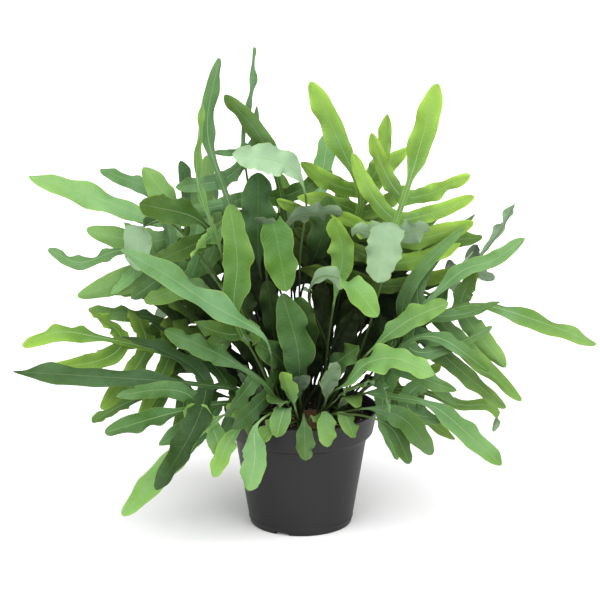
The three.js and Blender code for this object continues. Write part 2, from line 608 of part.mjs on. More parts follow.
// The spine strip: two points at each station and one at the tip.
function spineSheet(frond, frames, swell) {
  const sheet = new Sheet();
  const left = [];
  const right = [];
  frames.forEach(({ place, across, normal, half, part, v }) => {
    const thick = part === "stipe" ? STIPE_HALF_WIDTH : BLADE_HALF_THICKNESS;
    if (v === 1) {
      const tip = sheet.add(place.clone(), normal, thick);
      left.push(tip);
      right.push(tip);
      return;
    }
    for (const side of [-1, 1]) {
      const wave = edgeWave(v || 0, frond.waves, frond.phase, side);
      const edge = place.clone();
      edge.addScaledVector(across, side * (half * wave.widen + swell));
      edge.addScaledVector(normal, wave.height);
      (side < 0 ? left : right).push(sheet.add(edge, normal, thick));
    }
  });
  for (let i = 1; i < frames.length; i++) {
    if (left[i] === right[i]) sheet.triangle(left[i - 1], left[i], right[i - 1]);
    else sheet.quad(left[i - 1], left[i], right[i], right[i - 1]);
  }
  return { sheet, left, right };
}

// A lobe's aim: its base edge on the spine, and the tip that it bends to.
function lobePlan(frond, frames, slot) {
  const from = frames[slot.station];
  const to = frames[slot.station + 1];
  const edgeOf = (frame) =>
    frame.place.clone().addScaledVector(frame.across, slot.side * frame.half);
  const near = edgeOf(from);
  const far = edgeOf(to);
  const base = near.clone().add(far).multiplyScalar(0.5);
  const tangent = far.clone().sub(near).normalize();
  const normal = squareTo(from.normal.clone().add(to.normal), tangent);
  const outward = new THREE.Vector3().crossVectors(normal, tangent).multiplyScalar(slot.side);
  let tip;
  if (slot.tip) tip = vector(slot.tip);
  else {
    tip = base.clone();
    tip.addScaledVector(tangent, slot.length * Math.cos(slot.angle));
    tip.addScaledVector(outward, slot.length * Math.sin(slot.angle));
    tip.addScaledVector(normal, -slot.length * slot.droop);
    tip.z -= slot.length * slot.hang;
  }
  return { near, far, base, tangent, normal, outward, tip };
}

// The rows of a lobe: midline, across and normal along a quadratic curve from base to tip.
function lobeRows(frond, slot, plan, k) {
  const reach = LOBE_SPIRAL * Math.sqrt(k);
  const turn = GOLDEN_ANGLE * k + slot.phase;
  const tip = plan.tip.clone();
  const aim = tip.clone().sub(plan.base).normalize();
  const sideways = squareTo(plan.tangent, aim);
  tip.addScaledVector(sideways, reach * Math.cos(turn));
  tip.addScaledVector(new THREE.Vector3().crossVectors(aim, sideways), reach * Math.sin(turn));
  const span = tip.distanceTo(plan.base);
  const bend = plan.base.clone();
  bend.addScaledVector(plan.outward, LOBE_BEND * span * Math.sin(slot.leave));
  bend.addScaledVector(plan.tangent, LOBE_BEND * span * Math.cos(slot.leave));
  return frond.lobeRows.map((v) => {
    const place = plan.base.clone().multiplyScalar((1 - v) ** 2);
    place.addScaledVector(bend, 2 * v * (1 - v)).addScaledVector(tip, v * v);
    const along = bend.clone().sub(plan.base).multiplyScalar(1 - v);
    along.addScaledVector(tip, v).addScaledVector(bend, -v).normalize();
    const normal = squareTo(plan.normal, along).applyAxisAngle(along, slot.twist * v);
    const across = new THREE.Vector3().crossVectors(along, normal).multiplyScalar(slot.side);
    const slant = smooth(v / SLANT_GROWTH);
    across.multiplyScalar(slant).addScaledVector(plan.tangent, 1 - slant).normalize();
    return { v, place, normal, across };
  });
}

function lobeWidth(slot, v) {
  const grown = smooth(v / LOBE_GROWTH);
  return (slot.base * (1 - grown) + slot.width * grown) * strapWidth(v);
}

// Adds a lobe's rows to a sheet, on from the two sheet points of its base edge.
function addLobe(sheet, slot, rows, from, to, swell) {
  const turned = slot.side < 0;
  let a = from;
  let b = to;
  for (const { v, place, normal, across } of rows) {
    if (v === 1) {
      const tip = sheet.add(place.clone(), normal, BLADE_HALF_THICKNESS);
      sheet.triangle(a, b, tip, turned);
      return;
    }
    const pair = [-1, 1].map((side) => {
      const wave = edgeWave(v, slot.waves, slot.phase, side);
      const edge = place.clone();
      edge.addScaledVector(across, side * (lobeWidth(slot, v) * wave.widen + swell));
      edge.addScaledVector(normal, wave.height);
      return sheet.add(edge, normal, BLADE_HALF_THICKNESS);
    });
    sheet.quad(a, b, pair[1], pair[0], turned);
    [a, b] = pair;
  }
}

// A lobe on its own, for the clearance test; free leaves out the stretch next to the spine.
function lobeSolid(slot, plan, rows, free, swell) {
  const sheet = new Sheet();
  let from;
  let to;
  let rest = rows;
  if (free) {
    const { v, place, normal, across } = rows[0];
    [from, to] = [-1, 1].map((side) => {
      const edge = place.clone().addScaledVector(across, side * (lobeWidth(slot, v) + swell));
      return sheet.add(edge, normal, BLADE_HALF_THICKNESS);
    });
    rest = rows.slice(1);
  } else {
    const lift = plan.outward.clone().multiplyScalar(2 * CLEARANCE);
    from = sheet.add(plan.near.clone().add(lift), plan.normal, BLADE_HALF_THICKNESS);
    to = sheet.add(plan.far.clone().add(lift), plan.normal, BLADE_HALF_THICKNESS);
  }
  addLobe(sheet, slot, rest, from, to, swell);
  return solidOf(sheet.thicken(swell));
}

// The lobes a frond may carry, from the end lobe down on each side.
function lobeSlots(frond, frames) {
  const random = randomFrom(100 + frond.number);
  const slots = [];
  const first = frames.findIndex((frame) => frame.part === "wing");
  for (let rank = 0; rank < frond.pairs; rank++) {
    for (const side of [-1, 1]) {
      const lower = (rank + 1) / frond.pairs;
      slots.push({
        side,
        station: first + 2 * (frond.pairs - 1 - rank),
        angle: THREE.MathUtils.degToRad(LOBE_ANGLE + LOBE_ANGLE_LOWER * lower + random(-14, 14)),
        length: frond.reach * (rank === 0 ? 0.8 : 1.04 - 0.16 * lower) * random(0.85, 1.12),
        width: frond.lobeWidth * random(0.88, 1.12),
        droop: random(-0.2, 0.45),
        hang: random(0, 0.35),
        twist: random(-0.95, 0.95),
        phase: random(0, 6.28),
        waves: 2,
        base: 0.5 * LOBE_BASE_SHARE * frond.pitch,
      });
    }
  }
  for (const slot of slots) slot.leave = Math.min(slot.angle + LOBE_LEAVE, LOBE_LEAVE_MOST);
  for (const tip of frond.tips) {
    const slot = slots.find((s) => !s.tip && sideOf(frames[s.station], tip) === s.side);
    if (slot) slot.tip = tip;
  }
  return slots;
}

function sideOf(frame, tip) {
  return vector(tip).sub(frame.place).dot(frame.across) < 0 ? -1 : 1;
}

// What is already placed, as solids with their boxes, for the clearance tests.
const ground = [];
const foliage = [];

function boxOf(solid) {
  const { min, max } = solid.boundingBox();
  return new THREE.Box3(vector(min), vector(max));
}

function boxed(solid) {
  return { solid, box: boxOf(solid) };
}

function isClear(solid, others) {
  const box = boxOf(solid);
  return others.every(
    (other) => !other.box.intersectsBox(box) || other.solid.intersect(solid).isEmpty(),
  );
}

// Finds the first sway at which the frond's spine is clear of everything placed before it.
function settleSpine(frond, kin = []) {
  for (let k = 0; k < SPINE_TRIES; k++) {
    const frames = spineFrames(frond, k);
    if (!frames) continue;
    const solidFrom = (start) =>
      solidOf(spineSheet(frond, frames.slice(start), CLEARANCE).sheet.thicken(CLEARANCE));
    if (!isClear(solidFrom(0), foliage) || !isClear(solidFrom(1), ground)) continue;
    if (isClear(solidFrom(2), kin)) return frames;
  }
  return null;
}

// Builds one blade on its settled spine, with each lobe at the first bend that is clear.
function makeBlade(frond, frames, kin) {
  const { sheet, left, right } = spineSheet(frond, frames, 0);
  const own = [boxed(solidOf(sheet.thicken()))];
  const others = [...foliage, ...ground, ...kin];
  for (const slot of lobeSlots(frond, frames)) {
    const plan = lobePlan(frond, frames, slot);
    for (let k = 0; k < LOBE_TRIES; k++) {
      const rows = lobeRows(frond, slot, plan, k);
      if (!isClear(lobeSolid(slot, plan, rows, true, CLEARANCE), own)) continue;
      if (!isClear(lobeSolid(slot, plan, rows, false, CLEARANCE), others)) continue;
      const edge = slot.side < 0 ? left : right;
      addLobe(sheet, slot, rows, edge[slot.station], edge[slot.station + 1], 0);
      own.push(boxed(lobeSolid(slot, plan, rows, true, 0)));
      break;
    }
  }
  return solidOf(sheet.thicken());
}

function makeFrond(frond) {
  const frames = settleSpine(frond);
  if (!frames) return null;
  const solid = makeBlade(frond, frames, []);
  foliage.push(boxed(solid));
  return { solid, hole: rootHole(frond, frames) };
}

// The hole a frond stands in: the foot of its stipe, swollen by the gap.
function rootHole(frond, frames) {
  const [foot, above] = frames;
  const sunk = foot.place.clone().addScaledVector(foot.tangent, -HOLE_GAP);
  const sheet = spineSheet(frond, [{ ...foot, place: sunk }, above], HOLE_GAP).sheet;
  return solidOf(sheet.thicken(HOLE_GAP));
}

// The part of a leaf above its foot, where a clump's leaves stay clear of each other.
function upperSpine({ frond, frames }) {
  return boxed(solidOf(spineSheet(frond, frames.slice(2), 0).sheet.thicken()));
}

// The leaves of a clump whose foot has moved a little way round a spiral, or null if one
// won't fit.
function settleClump(clump, move) {
  const reach = CLUMP_SPIRAL * Math.sqrt(move);
  const foot = new THREE.Vector3(clump.foot[0], clump.foot[1], 0);
  foot.x += reach * Math.cos(GOLDEN_ANGLE * move);
  foot.y += reach * Math.sin(GOLDEN_ANGLE * move);
  const settled = [];
  for (const leaf of clump.leaves) {
    const outward = vector(leaf.path[0]).sub(foot).setZ(0).setLength(CLUMP_RADIUS).add(foot);
    const frond = { ...leaf, foot: [outward.x, outward.y] };
    const frames = settleSpine(frond, settled.map(upperSpine));
    if (!frames) return null;
    settled.push({ frond, frames });
  }
  return settled;
}

// One round hole for a whole clump, upright round the foot that its leaves share.
function clumpHole(settled) {
  const middle = new THREE.Vector3();
  for (const { frames } of settled) middle.addScaledVector(frames[0].place, 1 / settled.length);
  const radius = CLUMP_RADIUS + 2.2 * STIPE_HALF_WIDTH + HOLE_GAP;
  const bud = new THREE.CylinderGeometry(radius, radius, 4 * ROOT_DEPTH, 6);
  bud.rotateX(Math.PI / 2);
  bud.translate(middle.x, middle.y, middle.z - HOLE_GAP + 2 * ROOT_DEPTH);
  return solidOf(bud);
}

// A clump's leaves are fused at the foot, and cross each other nowhere above it.
function makeClump(clump) {
  let settled = null;
  for (let move = 0; move < CLUMP_MOVES && !settled; move++) settled = settleClump(clump, move);
  if (!settled) return null;
  const blades = [];
  settled.forEach(({ frond, frames }, k) => {
    const kin = [...blades, ...settled.slice(k + 1).map(upperSpine)];
    blades.push(boxed(makeBlade(frond, frames, kin)));
  });
  const solid = blades.map((blade) => blade.solid).reduce((whole, one) => whole.add(one));
  foliage.push(boxed(solid));
  return { solid, hole: clumpHole(settled) };
}

// Tufts on the other sides of the crown, their leaves fanned out and raised by seeded draws.
function ruledTuft(index) {
  const random = randomFrom(800 + index);
  const share = index / (TUFT_COUNT - 1);
  const middle = TUFT_BEARINGS[0] + (TUFT_BEARINGS[1] - TUFT_BEARINGS[0]) * share;
  const polar = (radius, degrees, z) => {
    const angle = THREE.MathUtils.degToRad(degrees);
    return [radius * Math.cos(angle), radius * Math.sin(angle), z];
  };
  const leaves = [];
  for (let k = 0; k < TUFT_LEAVES; k++) {
    const bearing = middle + TUFT_FAN * (k - (TUFT_LEAVES - 1) / 2) + random(-6, 6);
    const raised = k % 2 ? random(0.6, 1) : random(0, 0.3);
    const path = [
      polar(62 - 12 * raised, bearing, 141 + 14 * raised),
      polar(86 - 22 * raised, bearing, 154 + 30 * raised),
      polar(106 - 26 * raised, bearing, 132 + 80 * raised),
    ];
    leaves.push({ path, width: random(7.5, 9.5), end: random(46, 60) });
  }
  return { foot: polar(TUFT_FOOT, middle, 0).slice(0, 2), leaves };
}

// A clump at the back: its fronds rise from one foot and arch over at their own lifts.
function backClump(index) {
  const random = randomFrom(500 + index);
  const middle = 90 + BACK_SPREAD * ((index + 0.5) / BACK_COUNT - 0.5);
  const leaves = [];
  for (let k = 0; k < BACK_FRONDS; k++) {
    const fan = BACK_FAN * (k - (BACK_FRONDS - 1) / 2);
    const bearing = THREE.MathUtils.degToRad(middle + fan + random(-5, 5));
    const lift = THREE.MathUtils.degToRad(BACK_LIFTS[(2 * k + index) % BACK_FRONDS] + random(-4, 4));
    const length = random(...BACK_LENGTH) * (0.8 + 0.2 * Math.sin(bearing));
    const start = THREE.MathUtils.degToRad(BACK_RISE);
    const bend = 2 * (start - lift);
    const foot = BACK_FOOT + 14 * Math.cos(lift);
    const path = [0.3, 0.65, 1].map((share) => {
      const radial = foot + (length / bend) * (Math.sin(start) - Math.sin(start - bend * share));
      const rise = (length / bend) * (Math.cos(start - bend * share) - Math.cos(start));
      return [radial * Math.cos(bearing), radial * Math.sin(bearing), SOIL_EDGE_HEIGHT + 8 + rise];
    });
    leaves.push({ path, width: BACK_WIDTH, end: 110, pairs: 2, lobeRows: FEW_LOBE_ROWS });
  }
  const angle = THREE.MathUtils.degToRad(middle);
  return { foot: [BACK_FOOT * Math.cos(angle), BACK_FOOT * Math.sin(angle)], leaves };
}

function completeFrond(frond, index) {
  const random = randomFrom(300 + index);
  return {
    face: SKYWARD,
    pairs: 0,
    pitch: 27,
    tips: [],
    lobeRows: LOBE_ROWS,
    ...frond,
    number: index + 1,
    reach: frond.reach || frond.end * random(0.72, 0.88),
    twist: random(-0.25, 0.25),
    phase: random(0, 6.28),
    waves: 3,
    lobeWidth: frond.lobeWidth || LOBE_SHARE * frond.width,
  };
}

function standard(color, roughness) {
  return new THREE.MeshStandardMaterial({ color, roughness, metalness: 0, side: THREE.DoubleSide });
}

const fern = new THREE.Group();

function addNode(name, solid, material) {
  const mesh = new THREE.Mesh(geometryOf(solid), material);
  mesh.name = name;
  fern.add(mesh);
}

const pot = makePot();
let soil = makeSoil().subtract(makeRhizome(GAP));
let rhizome = makeRhizome(0);
ground.push(boxed(pot), boxed(soil), boxed(rhizome));
const leafMaterial = standard(0x6f9a52, 0.55);

function plant(name, made) {
  if (!made) return;
  soil = soil.subtract(made.hole);
  rhizome = rhizome.subtract(made.hole);
  addNode(name, made.solid, leafMaterial);
}

function plantClumps(kind, clumps) {
  clumps.forEach(({ foot, leaves }, c) => {
    const first = FIRST_NUMBERS[kind] + NUMBERS_EACH * c;
    const completed = leaves.map((leaf, k) => completeFrond(leaf, first + k));
    plant(kind + "_" + (c + 1), makeClump({ foot, leaves: completed }));
  });
}

OUTLINE_FRONDS.map(completeFrond).forEach((frond) => {
  plant("frond_" + String(frond.number).padStart(2, "0"), makeFrond(frond));
});
const tufts = [...FRONT_TUFTS];
for (let index = 0; index < TUFT_COUNT; index++) tufts.push(ruledTuft(index));
const backClumps = [];
for (let index = 0; index < BACK_COUNT; index++) backClumps.push(backClump(index));
plantClumps("front_clump", FRONT_CLUMPS);
plantClumps("tuft", tufts);
plantClumps("back_clump", backClumps);
plantClumps("middle_clump", MIDDLE_CLUMPS);

addNode("pot", pot, standard(0x2c2c2c, 0.5));
addNode("soil", soil, standard(0x2a2019, 0.95));
addNode("rhizome", rhizome, standard(0x6b4a2c, 0.85));

export default fern;
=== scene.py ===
"""A polypody fern in a plain nursery pot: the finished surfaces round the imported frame.

Lengths are in millimetres until a mesh is made, and the frame is the part's: +Z up, front -Y.
"""

import math

import bpy
import numpy as np
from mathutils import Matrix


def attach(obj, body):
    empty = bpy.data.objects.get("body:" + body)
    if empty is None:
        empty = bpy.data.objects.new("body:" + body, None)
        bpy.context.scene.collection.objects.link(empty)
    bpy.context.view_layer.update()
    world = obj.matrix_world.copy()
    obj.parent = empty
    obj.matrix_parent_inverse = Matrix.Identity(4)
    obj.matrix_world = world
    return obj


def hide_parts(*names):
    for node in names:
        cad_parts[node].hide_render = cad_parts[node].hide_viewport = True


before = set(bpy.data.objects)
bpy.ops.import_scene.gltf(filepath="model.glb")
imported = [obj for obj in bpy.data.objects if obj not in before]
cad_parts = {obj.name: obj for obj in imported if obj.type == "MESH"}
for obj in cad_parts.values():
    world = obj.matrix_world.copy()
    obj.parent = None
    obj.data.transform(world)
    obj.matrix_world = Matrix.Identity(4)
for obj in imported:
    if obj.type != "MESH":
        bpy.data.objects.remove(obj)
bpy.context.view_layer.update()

MM = 0.001
UP = np.array([0, 0, 1.0])

# Sizes and rules that the part's source uses too.
POT_HEIGHT = 132
RIM_RADIUS = 85
BAND_HEIGHT = 27
BAND_TAPER = 6
SHOULDER_HEIGHT = 7
SHOULDER_STEP = 6.5
BASE_RADIUS = 56.5
POT_WALL = 1.8
DRAIN_SLOTS = 3
SLOT_WIDTH = 16
SLOT_HEIGHT = 3.8
SLOT_DEPTH = 11
FIRST_SLOT_ANGLE = -112
SOIL_EDGE_HEIGHT = 116
SOIL_MOUND = 5
SOIL_LUMP = 0.9
RHIZOME_ARMS = 4
RHIZOME_RADIUS = 6.5
RHIZOME_REACH = 50
RHIZOME_DIP = 4
STIPE_HALF_WIDTH = 1.15
WING_HALF_WIDTH = 3.2
ROOT_DEPTH = 11
STIPE_RUNOUT = 9
FOOT_SHARE = 0.6
FOOT_REACH = 47
STRAP_TAPER = 0.5
STRAP_BLUNT = 0.6
LOBE_GROWTH = 0.4
END_GROWTH = 0.34
SPOON_GROWTH = 0.5
LOBE_BASE_SHARE = 0.74
LOBE_SHARE = 0.92
CAD_HALF_THICKNESS = 0.45
LOBE_BEND = 0.34
LOBE_LEAVE = 0.35
LOBE_LEAVE_MOST = 1.4
LOBE_ANGLE = 46
LOBE_ANGLE_LOWER = 22
SLANT_GROWTH = 0.3
EDGE_WAVE = 1.6
WIDTH_WAVE = 0.09
WAVE_GROWTH = 0.3
SPINE_TRIES = 130
LOBE_TRIES = 26
SPINE_SPIRAL = 4.5
FOOT_SWAY = 0.2
LOBE_SPIRAL = 6
LOBE_PITCH = 27
GOLDEN_ANGLE = math.pi * (3 - math.sqrt(5))
TUFT_COUNT = 3
TUFT_BEARINGS = [-15, 195]
TUFT_FOOT = 41
TUFT_LEAVES = 3
TUFT_FAN = 34
CLUMP_RADIUS = 1.2
CLUMP_SPIRAL = 2.2
CLUMP_MOVES = 60
FIRST_NUMBERS = {"front_clump": 100, "tuft": 160, "back_clump": 230, "middle_clump": 280}
NUMBERS_EACH = 10
BACK_COUNT = 4
BACK_FRONDS = 3
BACK_SPREAD = 190
BACK_FAN = 15
BACK_FOOT = 30
BACK_LENGTH = [270, 350]
BACK_LIFTS = [14, 34, 54]
BACK_WIDTH = 11
BACK_END = 110
BACK_RISE = 84

TO_FRONT = [0, -1, 0.25]
HALF_FRONT = [0, -0.8, 1]
SKYWARD = [0, -0.1, 1]
UPPER_SIDE = np.array([0, -0.5, 0.87])


def blade(width, end, face, *path, **more):
    """A frond as the points that its spine passes through above the soil."""
    return {"width": width, "end": end, "face": face, "path": path, "pairs": 0,
            "pitch": LOBE_PITCH, "tips": [], **more}


def clump_at(foot, *leaves):
    """Leaves that rise from one foot on the soil."""
    return {"foot": foot, "leaves": leaves}


# The fronds that draw the outline, as the points their blades pass through above the soil.
OUTLINE_FRONDS = [
    blade(12, 120, TO_FRONT, [-54, -70, 153], [-88, -100, 150], [-124, -128, 124], [-189, -140, 55],
          pairs=1, reach=36),
    blade(13, 80, TO_FRONT, [-30, -86, 152], [-48, -104, 142], [-49, -108, 108], [-56, -110, 72]),
    blade(9, 60, TO_FRONT, [-50, -80, 146], [-76, -108, 128], [-98, -124, 84], pairs=1, reach=36),
    blade(14, 190, HALF_FRONT, [-55, -60, 165], [-115, -85, 184], [-215, -95, 195], [-305, -100, 202],
          pairs=2, pitch=26, tips=[[-195, -70, 232]]),
    blade(15, 150, HALF_FRONT, [-65, -10, 220], [-125, -18, 328], [-165, -22, 350], [-225, -25, 376],
          [-290, -30, 398], pairs=3, pitch=26, tips=[[-172, 30, 395], [-230, -30, 340]]),
    blade(13, 112, TO_FRONT, [55, 0, 185], [92, -10, 310], [118, -15, 395], [145, -15, 495], pairs=5,
          pitch=26, lobe_width=9.5, tips=[[75, -5, 440], [182, -5, 394], [55, -5, 418], [186, -22, 374],
          [184, -40, 350]]),
    blade(12, 115, TO_FRONT, [30, 20, 190], [55, 30, 315], [65, 30, 360], [40, 30, 425], [10, 25, 490],
          pairs=5, pitch=26, lobe_width=9, tips=[[94, 50, 450], [0, 10, 405], [0, 0, 375],
          [115, 50, 370]]),
    blade(12, 140, HALF_FRONT, [65, -12, 152], [130, -16, 228], [185, -20, 253], [270, -18, 230],
          [322, -16, 208], pairs=3, tips=[[190, -20, 292], [220, -62, 195], [178, 30, 300]]),
    blade(4.5, 100, [0.7, -1, 0], [-30, 30, 220], [-62, 30, 425], [-52, 30, 480], [-50, 30, 527],
          pairs=1, reach=50, tips=[[-48, 45, 460]]),
    blade(8, 120, TO_FRONT, [-45, 0, 220], [-76, 0, 355], [-100, 0, 440], [-87, 0, 520], pairs=2,
          reach=60),
    blade(10, 115, TO_FRONT, [-14, 24, 305], [-36, 22, 415], [-82, 18, 477], pairs=2, reach=75),
    blade(10, 85, TO_FRONT, [-66, -56, 152], [-120, -100, 160], [-208, -112, 138], pairs=3, reach=60,
          tips=[[-195, -112, 178], [-150, -125, 128]]),
    blade(8, 70, [1, -0.1, 0.4], [80, 62, 190], [130, 70, 230], [190, 85, 270], [222, 95, 305],
          [240, 95, 340], pairs=2, reach=60),
    blade(6, 130, [1, -0.35, 0], [-40, -50, 190], [-68, -72, 275], [-88, -80, 340], [-108, -80, 405],
          [-102, -80, 490], pairs=1, reach=70),
    blade(15, 128, TO_FRONT, [-42, -70, 195], [-72, -96, 270], [-72, -98, 330], [-84, -92, 396],
          pairs=1, lobe_width=12, tips=[[-112, -106, 258], [-50, -110, 236]]),
    blade(18, 84, TO_FRONT, [75, -40, 240], [97, -60, 345], [92, -85, 358], [80, -104, 300], pairs=1,
          tips=[[135, -62, 352]]),
    blade(9, 120, HALF_FRONT, [80, -20, 180], [125, -30, 245], [175, -30, 295], [205, -30, 305],
          [240, -30, 330], pairs=3, tips=[[190, 0, 350], [215, -40, 262], [175, -40, 345]]),
    blade(9, 85, HALF_FRONT, [75, -60, 175], [115, -75, 228], [145, -85, 235], [200, -95, 200], pairs=3,
          tips=[[205, -58, 240], [165, -105, 182]]),
    blade(11, 110, TO_FRONT, [65, -60, 165], [100, -75, 167], [140, -80, 160], [185, -85, 125],
          [215, -90, 100], pairs=2, reach=60, tips=[[172, -60, 140]]),
    blade(6, 100, TO_FRONT, [75, -30, 158], [125, -30, 160], [175, -30, 143], [205, -30, 142],
          [215, -30, 130], [210, -30, 112], pairs=2, reach=60, tips=[[170, -20, 100]]),
    blade(12, 95, TO_FRONT, [52, -76, 152], [80, -98, 165], [110, -108, 163], [140, -113, 135]),
    blade(9, 62, TO_FRONT, [38, -84, 150], [72, -95, 152], [98, -96, 142], [119, -99, 106]),
    blade(17, 135, HALF_FRONT, [34, -56, 165], [48, -88, 185], [70, -102, 212], [100, -112, 220],
          [140, -122, 205]),
    blade(15, 112, TO_FRONT, [30, -35, 200], [8, -60, 275], [25, -95, 305], [52, -112, 300],
          [80, -122, 268]),
    blade(17, 145, TO_FRONT, [-1, -58, 165], [-4, -84, 225], [-20, -100, 287]),
    blade(17, 105, TO_FRONT, [-30, -45, 235], [-38, -62, 330], [-30, -82, 358], [-15, -104, 290]),
    blade(9, 90, HALF_FRONT, [60, 45, 190], [90, 50, 250], [155, 60, 305], [198, 60, 318], pairs=3,
          tips=[[160, 75, 338]]),
    blade(9, 85, HALF_FRONT, [35, 55, 250], [60, 60, 330], [92, 62, 385], [118, 62, 410], pairs=3,
          reach=65),
    blade(8, 95, HALF_FRONT, [-60, -30, 205], [-130, -45, 298], [-190, -54, 322], [-235, -58, 310],
          [-268, -62, 326], pairs=3, reach=70),
    blade(9, 90, HALF_FRONT, [-70, 60, 235], [-125, 62, 335], [-165, 64, 362], [-222, 70, 384], pairs=3,
          tips=[[-132, 50, 398], [-200, 70, 335]]),
    blade(11, 85, HALF_FRONT, [-58, -42, 220], [-105, -68, 285], [-165, -95, 278], pairs=2,
          tips=[[-160, -95, 322]]),
    blade(9, 85, HALF_FRONT, [-80, 20, 190], [-150, 28, 222], [-235, 30, 235], pairs=3,
          tips=[[-200, 40, 262], [-225, 0, 195]]),
    blade(10, 95, HALF_FRONT, [-75, -20, 172], [-140, -30, 200], [-215, -40, 222], [-262, -46, 230],
          [-300, -50, 216], pairs=3, tips=[[-228, -40, 252], [-272, -58, 194]]),
    blade(11, 95, HALF_FRONT, [-35, -70, 178], [-82, -88, 225], [-142, -95, 268], pairs=2),
    blade(8, 70, HALF_FRONT, [-65, -35, 150], [-125, -55, 168], [-175, -60, 166], [-220, -62, 147],
          pairs=3, tips=[[-200, -58, 182]]),
    blade(15, 100, HALF_FRONT, [-1, -20, 305], [5, -25, 375], [-12, -38, 410], [-72, -60, 428]),
]

# Clumps of broad simple leaves and short fronds that fill the front, each clump rising from
# one foot.
FRONT_CLUMPS = [
    clump_at([-20, -34],
        blade(14, 72, TO_FRONT, [-36, -50, 190], [-72, -68, 290], [-99, -86, 354], [-161, -100, 373],
              pairs=1, lobe_width=12, tips=[[-116, -78, 412]]),
        blade(15, 205, HALF_FRONT, [-30, -60, 180], [-41, -104, 242], [-100, -122, 286],
              [-156, -126, 325], [-199, -122, 348])),
    clump_at([2, -10],
        blade(18, 110, TO_FRONT, [-12, -16, 200], [-42, -18, 278], [-46, -26, 401]),
        blade(12, 62, TO_FRONT, [-8, -22, 220], [-28, -40, 306], [-9, -56, 356], [44, -72, 369],
              pairs=1, lobe_width=12, tips=[[2, -60, 404]]),
        blade(14, 100, TO_FRONT, [2, 0, 190], [-1, 10, 251], [23, 0, 325], [31, -6, 371])),
    clump_at([26, -24],
        blade(13, 95, TO_FRONT, [28, -44, 200], [38, -60, 270], [50, -60, 330], [44, -62, 372]),
        blade(12, 100, HALF_FRONT, [45, -50, 172], [74, -70, 216], [112, -76, 250], [156, -80, 272]),
        blade(12, 110, TO_FRONT, [30, -6, 190], [65, 20, 248], [109, 30, 302], [141, 30, 353])),
    clump_at([-26, -6],
        blade(13, 110, TO_FRONT, [-34, -10, 190], [-70, -14, 240], [-110, -16, 300], [-120, -10, 352]),
        blade(13, 100, TO_FRONT, [-30, 0, 200], [-52, 6, 270], [-74, 10, 330]),
        blade(12, 90, HALF_FRONT, [-40, -20, 160], [-84, -40, 190], [-130, -50, 205]),
        blade(15, 76, TO_FRONT, [-44, -14, 200], [-95, -34, 290], [-145, -52, 345], [-170, -66, 330],
              [-172, -74, 278])),
    clump_at([28, 8],
        blade(15, 100, HALF_FRONT, [44, 8, 160], [90, 12, 190], [140, 14, 212]),
        blade(15, 100, TO_FRONT, [36, 16, 190], [62, 26, 240], [84, 30, 292]),
        blade(14, 100, TO_FRONT, [20, 24, 200], [30, 44, 260], [34, 52, 320])),
    clump_at([0, -22],
        blade(13, 66, HALF_FRONT, [-8, -40, 170], [-24, -62, 206], [-46, -84, 228]),
        blade(14, 90, TO_FRONT, [8, -34, 190], [12, -48, 236], [14, -52, 284]),
        blade(13, 68, HALF_FRONT, [16, -40, 165], [34, -60, 196], [62, -74, 222]),
        blade(12, 85, TO_FRONT, [-14, -30, 190], [-26, -36, 240], [-34, -34, 290])),
]

# Clumps of simple leaves that close the middle behind the bare stipes.
MIDDLE_CLUMPS = [
    clump_at([20, 26],
        blade(15, 100, TO_FRONT, [24, 38, 160], [26, 48, 205], [28, 52, 250]),
        blade(15, 96, TO_FRONT, [36, 34, 158], [52, 44, 200], [60, 48, 240]),
        blade(16, 92, TO_FRONT, [42, 30, 150], [66, 42, 186], [84, 50, 226])),
    clump_at([8, 44],
        blade(14, 68, TO_FRONT, [8, 52, 136], [2, 58, 165], [-2, 60, 196]),
        blade(14, 64, TO_FRONT, [16, 54, 136], [24, 60, 162], [28, 62, 190]),
        blade(13, 58, TO_FRONT, [24, 48, 134], [42, 52, 152], [62, 54, 168]),
        blade(17, 110, TO_FRONT, [6, 58, 160], [2, 70, 230], [0, 78, 296])),
    clump_at([6, 5],
        blade(13, 95, TO_FRONT, [2, 14, 150], [-6, 22, 200], [-10, 26, 250]),
        blade(13, 92, TO_FRONT, [14, 10, 150], [22, 16, 200], [26, 18, 246]),
        blade(14, 78, TO_FRONT, [8, 2, 148], [10, 0, 186], [14, 0, 220])),
    clump_at([-15, -15],
        blade(12, 86, TO_FRONT, [-22, -14, 150], [-34, -14, 195], [-44, -14, 238]),
        blade(12, 90, TO_FRONT, [-16, -8, 150], [-18, -2, 200], [-18, 2, 246]),
        blade(11, 66, HALF_FRONT, [-24, -22, 145], [-48, -30, 172], [-72, -38, 192])),
    clump_at([18, -6],
        blade(12, 84, TO_FRONT, [28, -10, 148], [40, -12, 190], [50, -14, 230]),
        blade(12, 88, TO_FRONT, [22, -2, 150], [24, 4, 200], [26, 8, 240]),
        blade(11, 62, HALF_FRONT, [30, -14, 144], [54, -20, 168], [80, -26, 186])),
    clump_at([-27, 48],
        blade(15, 84, TO_FRONT, [-42, 56, 138], [-66, 62, 166], [-84, 66, 194]),
        blade(15, 90, TO_FRONT, [-32, 58, 142], [-42, 68, 185], [-50, 72, 226]),
        blade(17, 110, TO_FRONT, [-26, 60, 160], [-40, 74, 230], [-42, 80, 296]),
        blade(16, 105, TO_FRONT, [-40, 52, 150], [-72, 64, 215], [-94, 70, 285])),
]

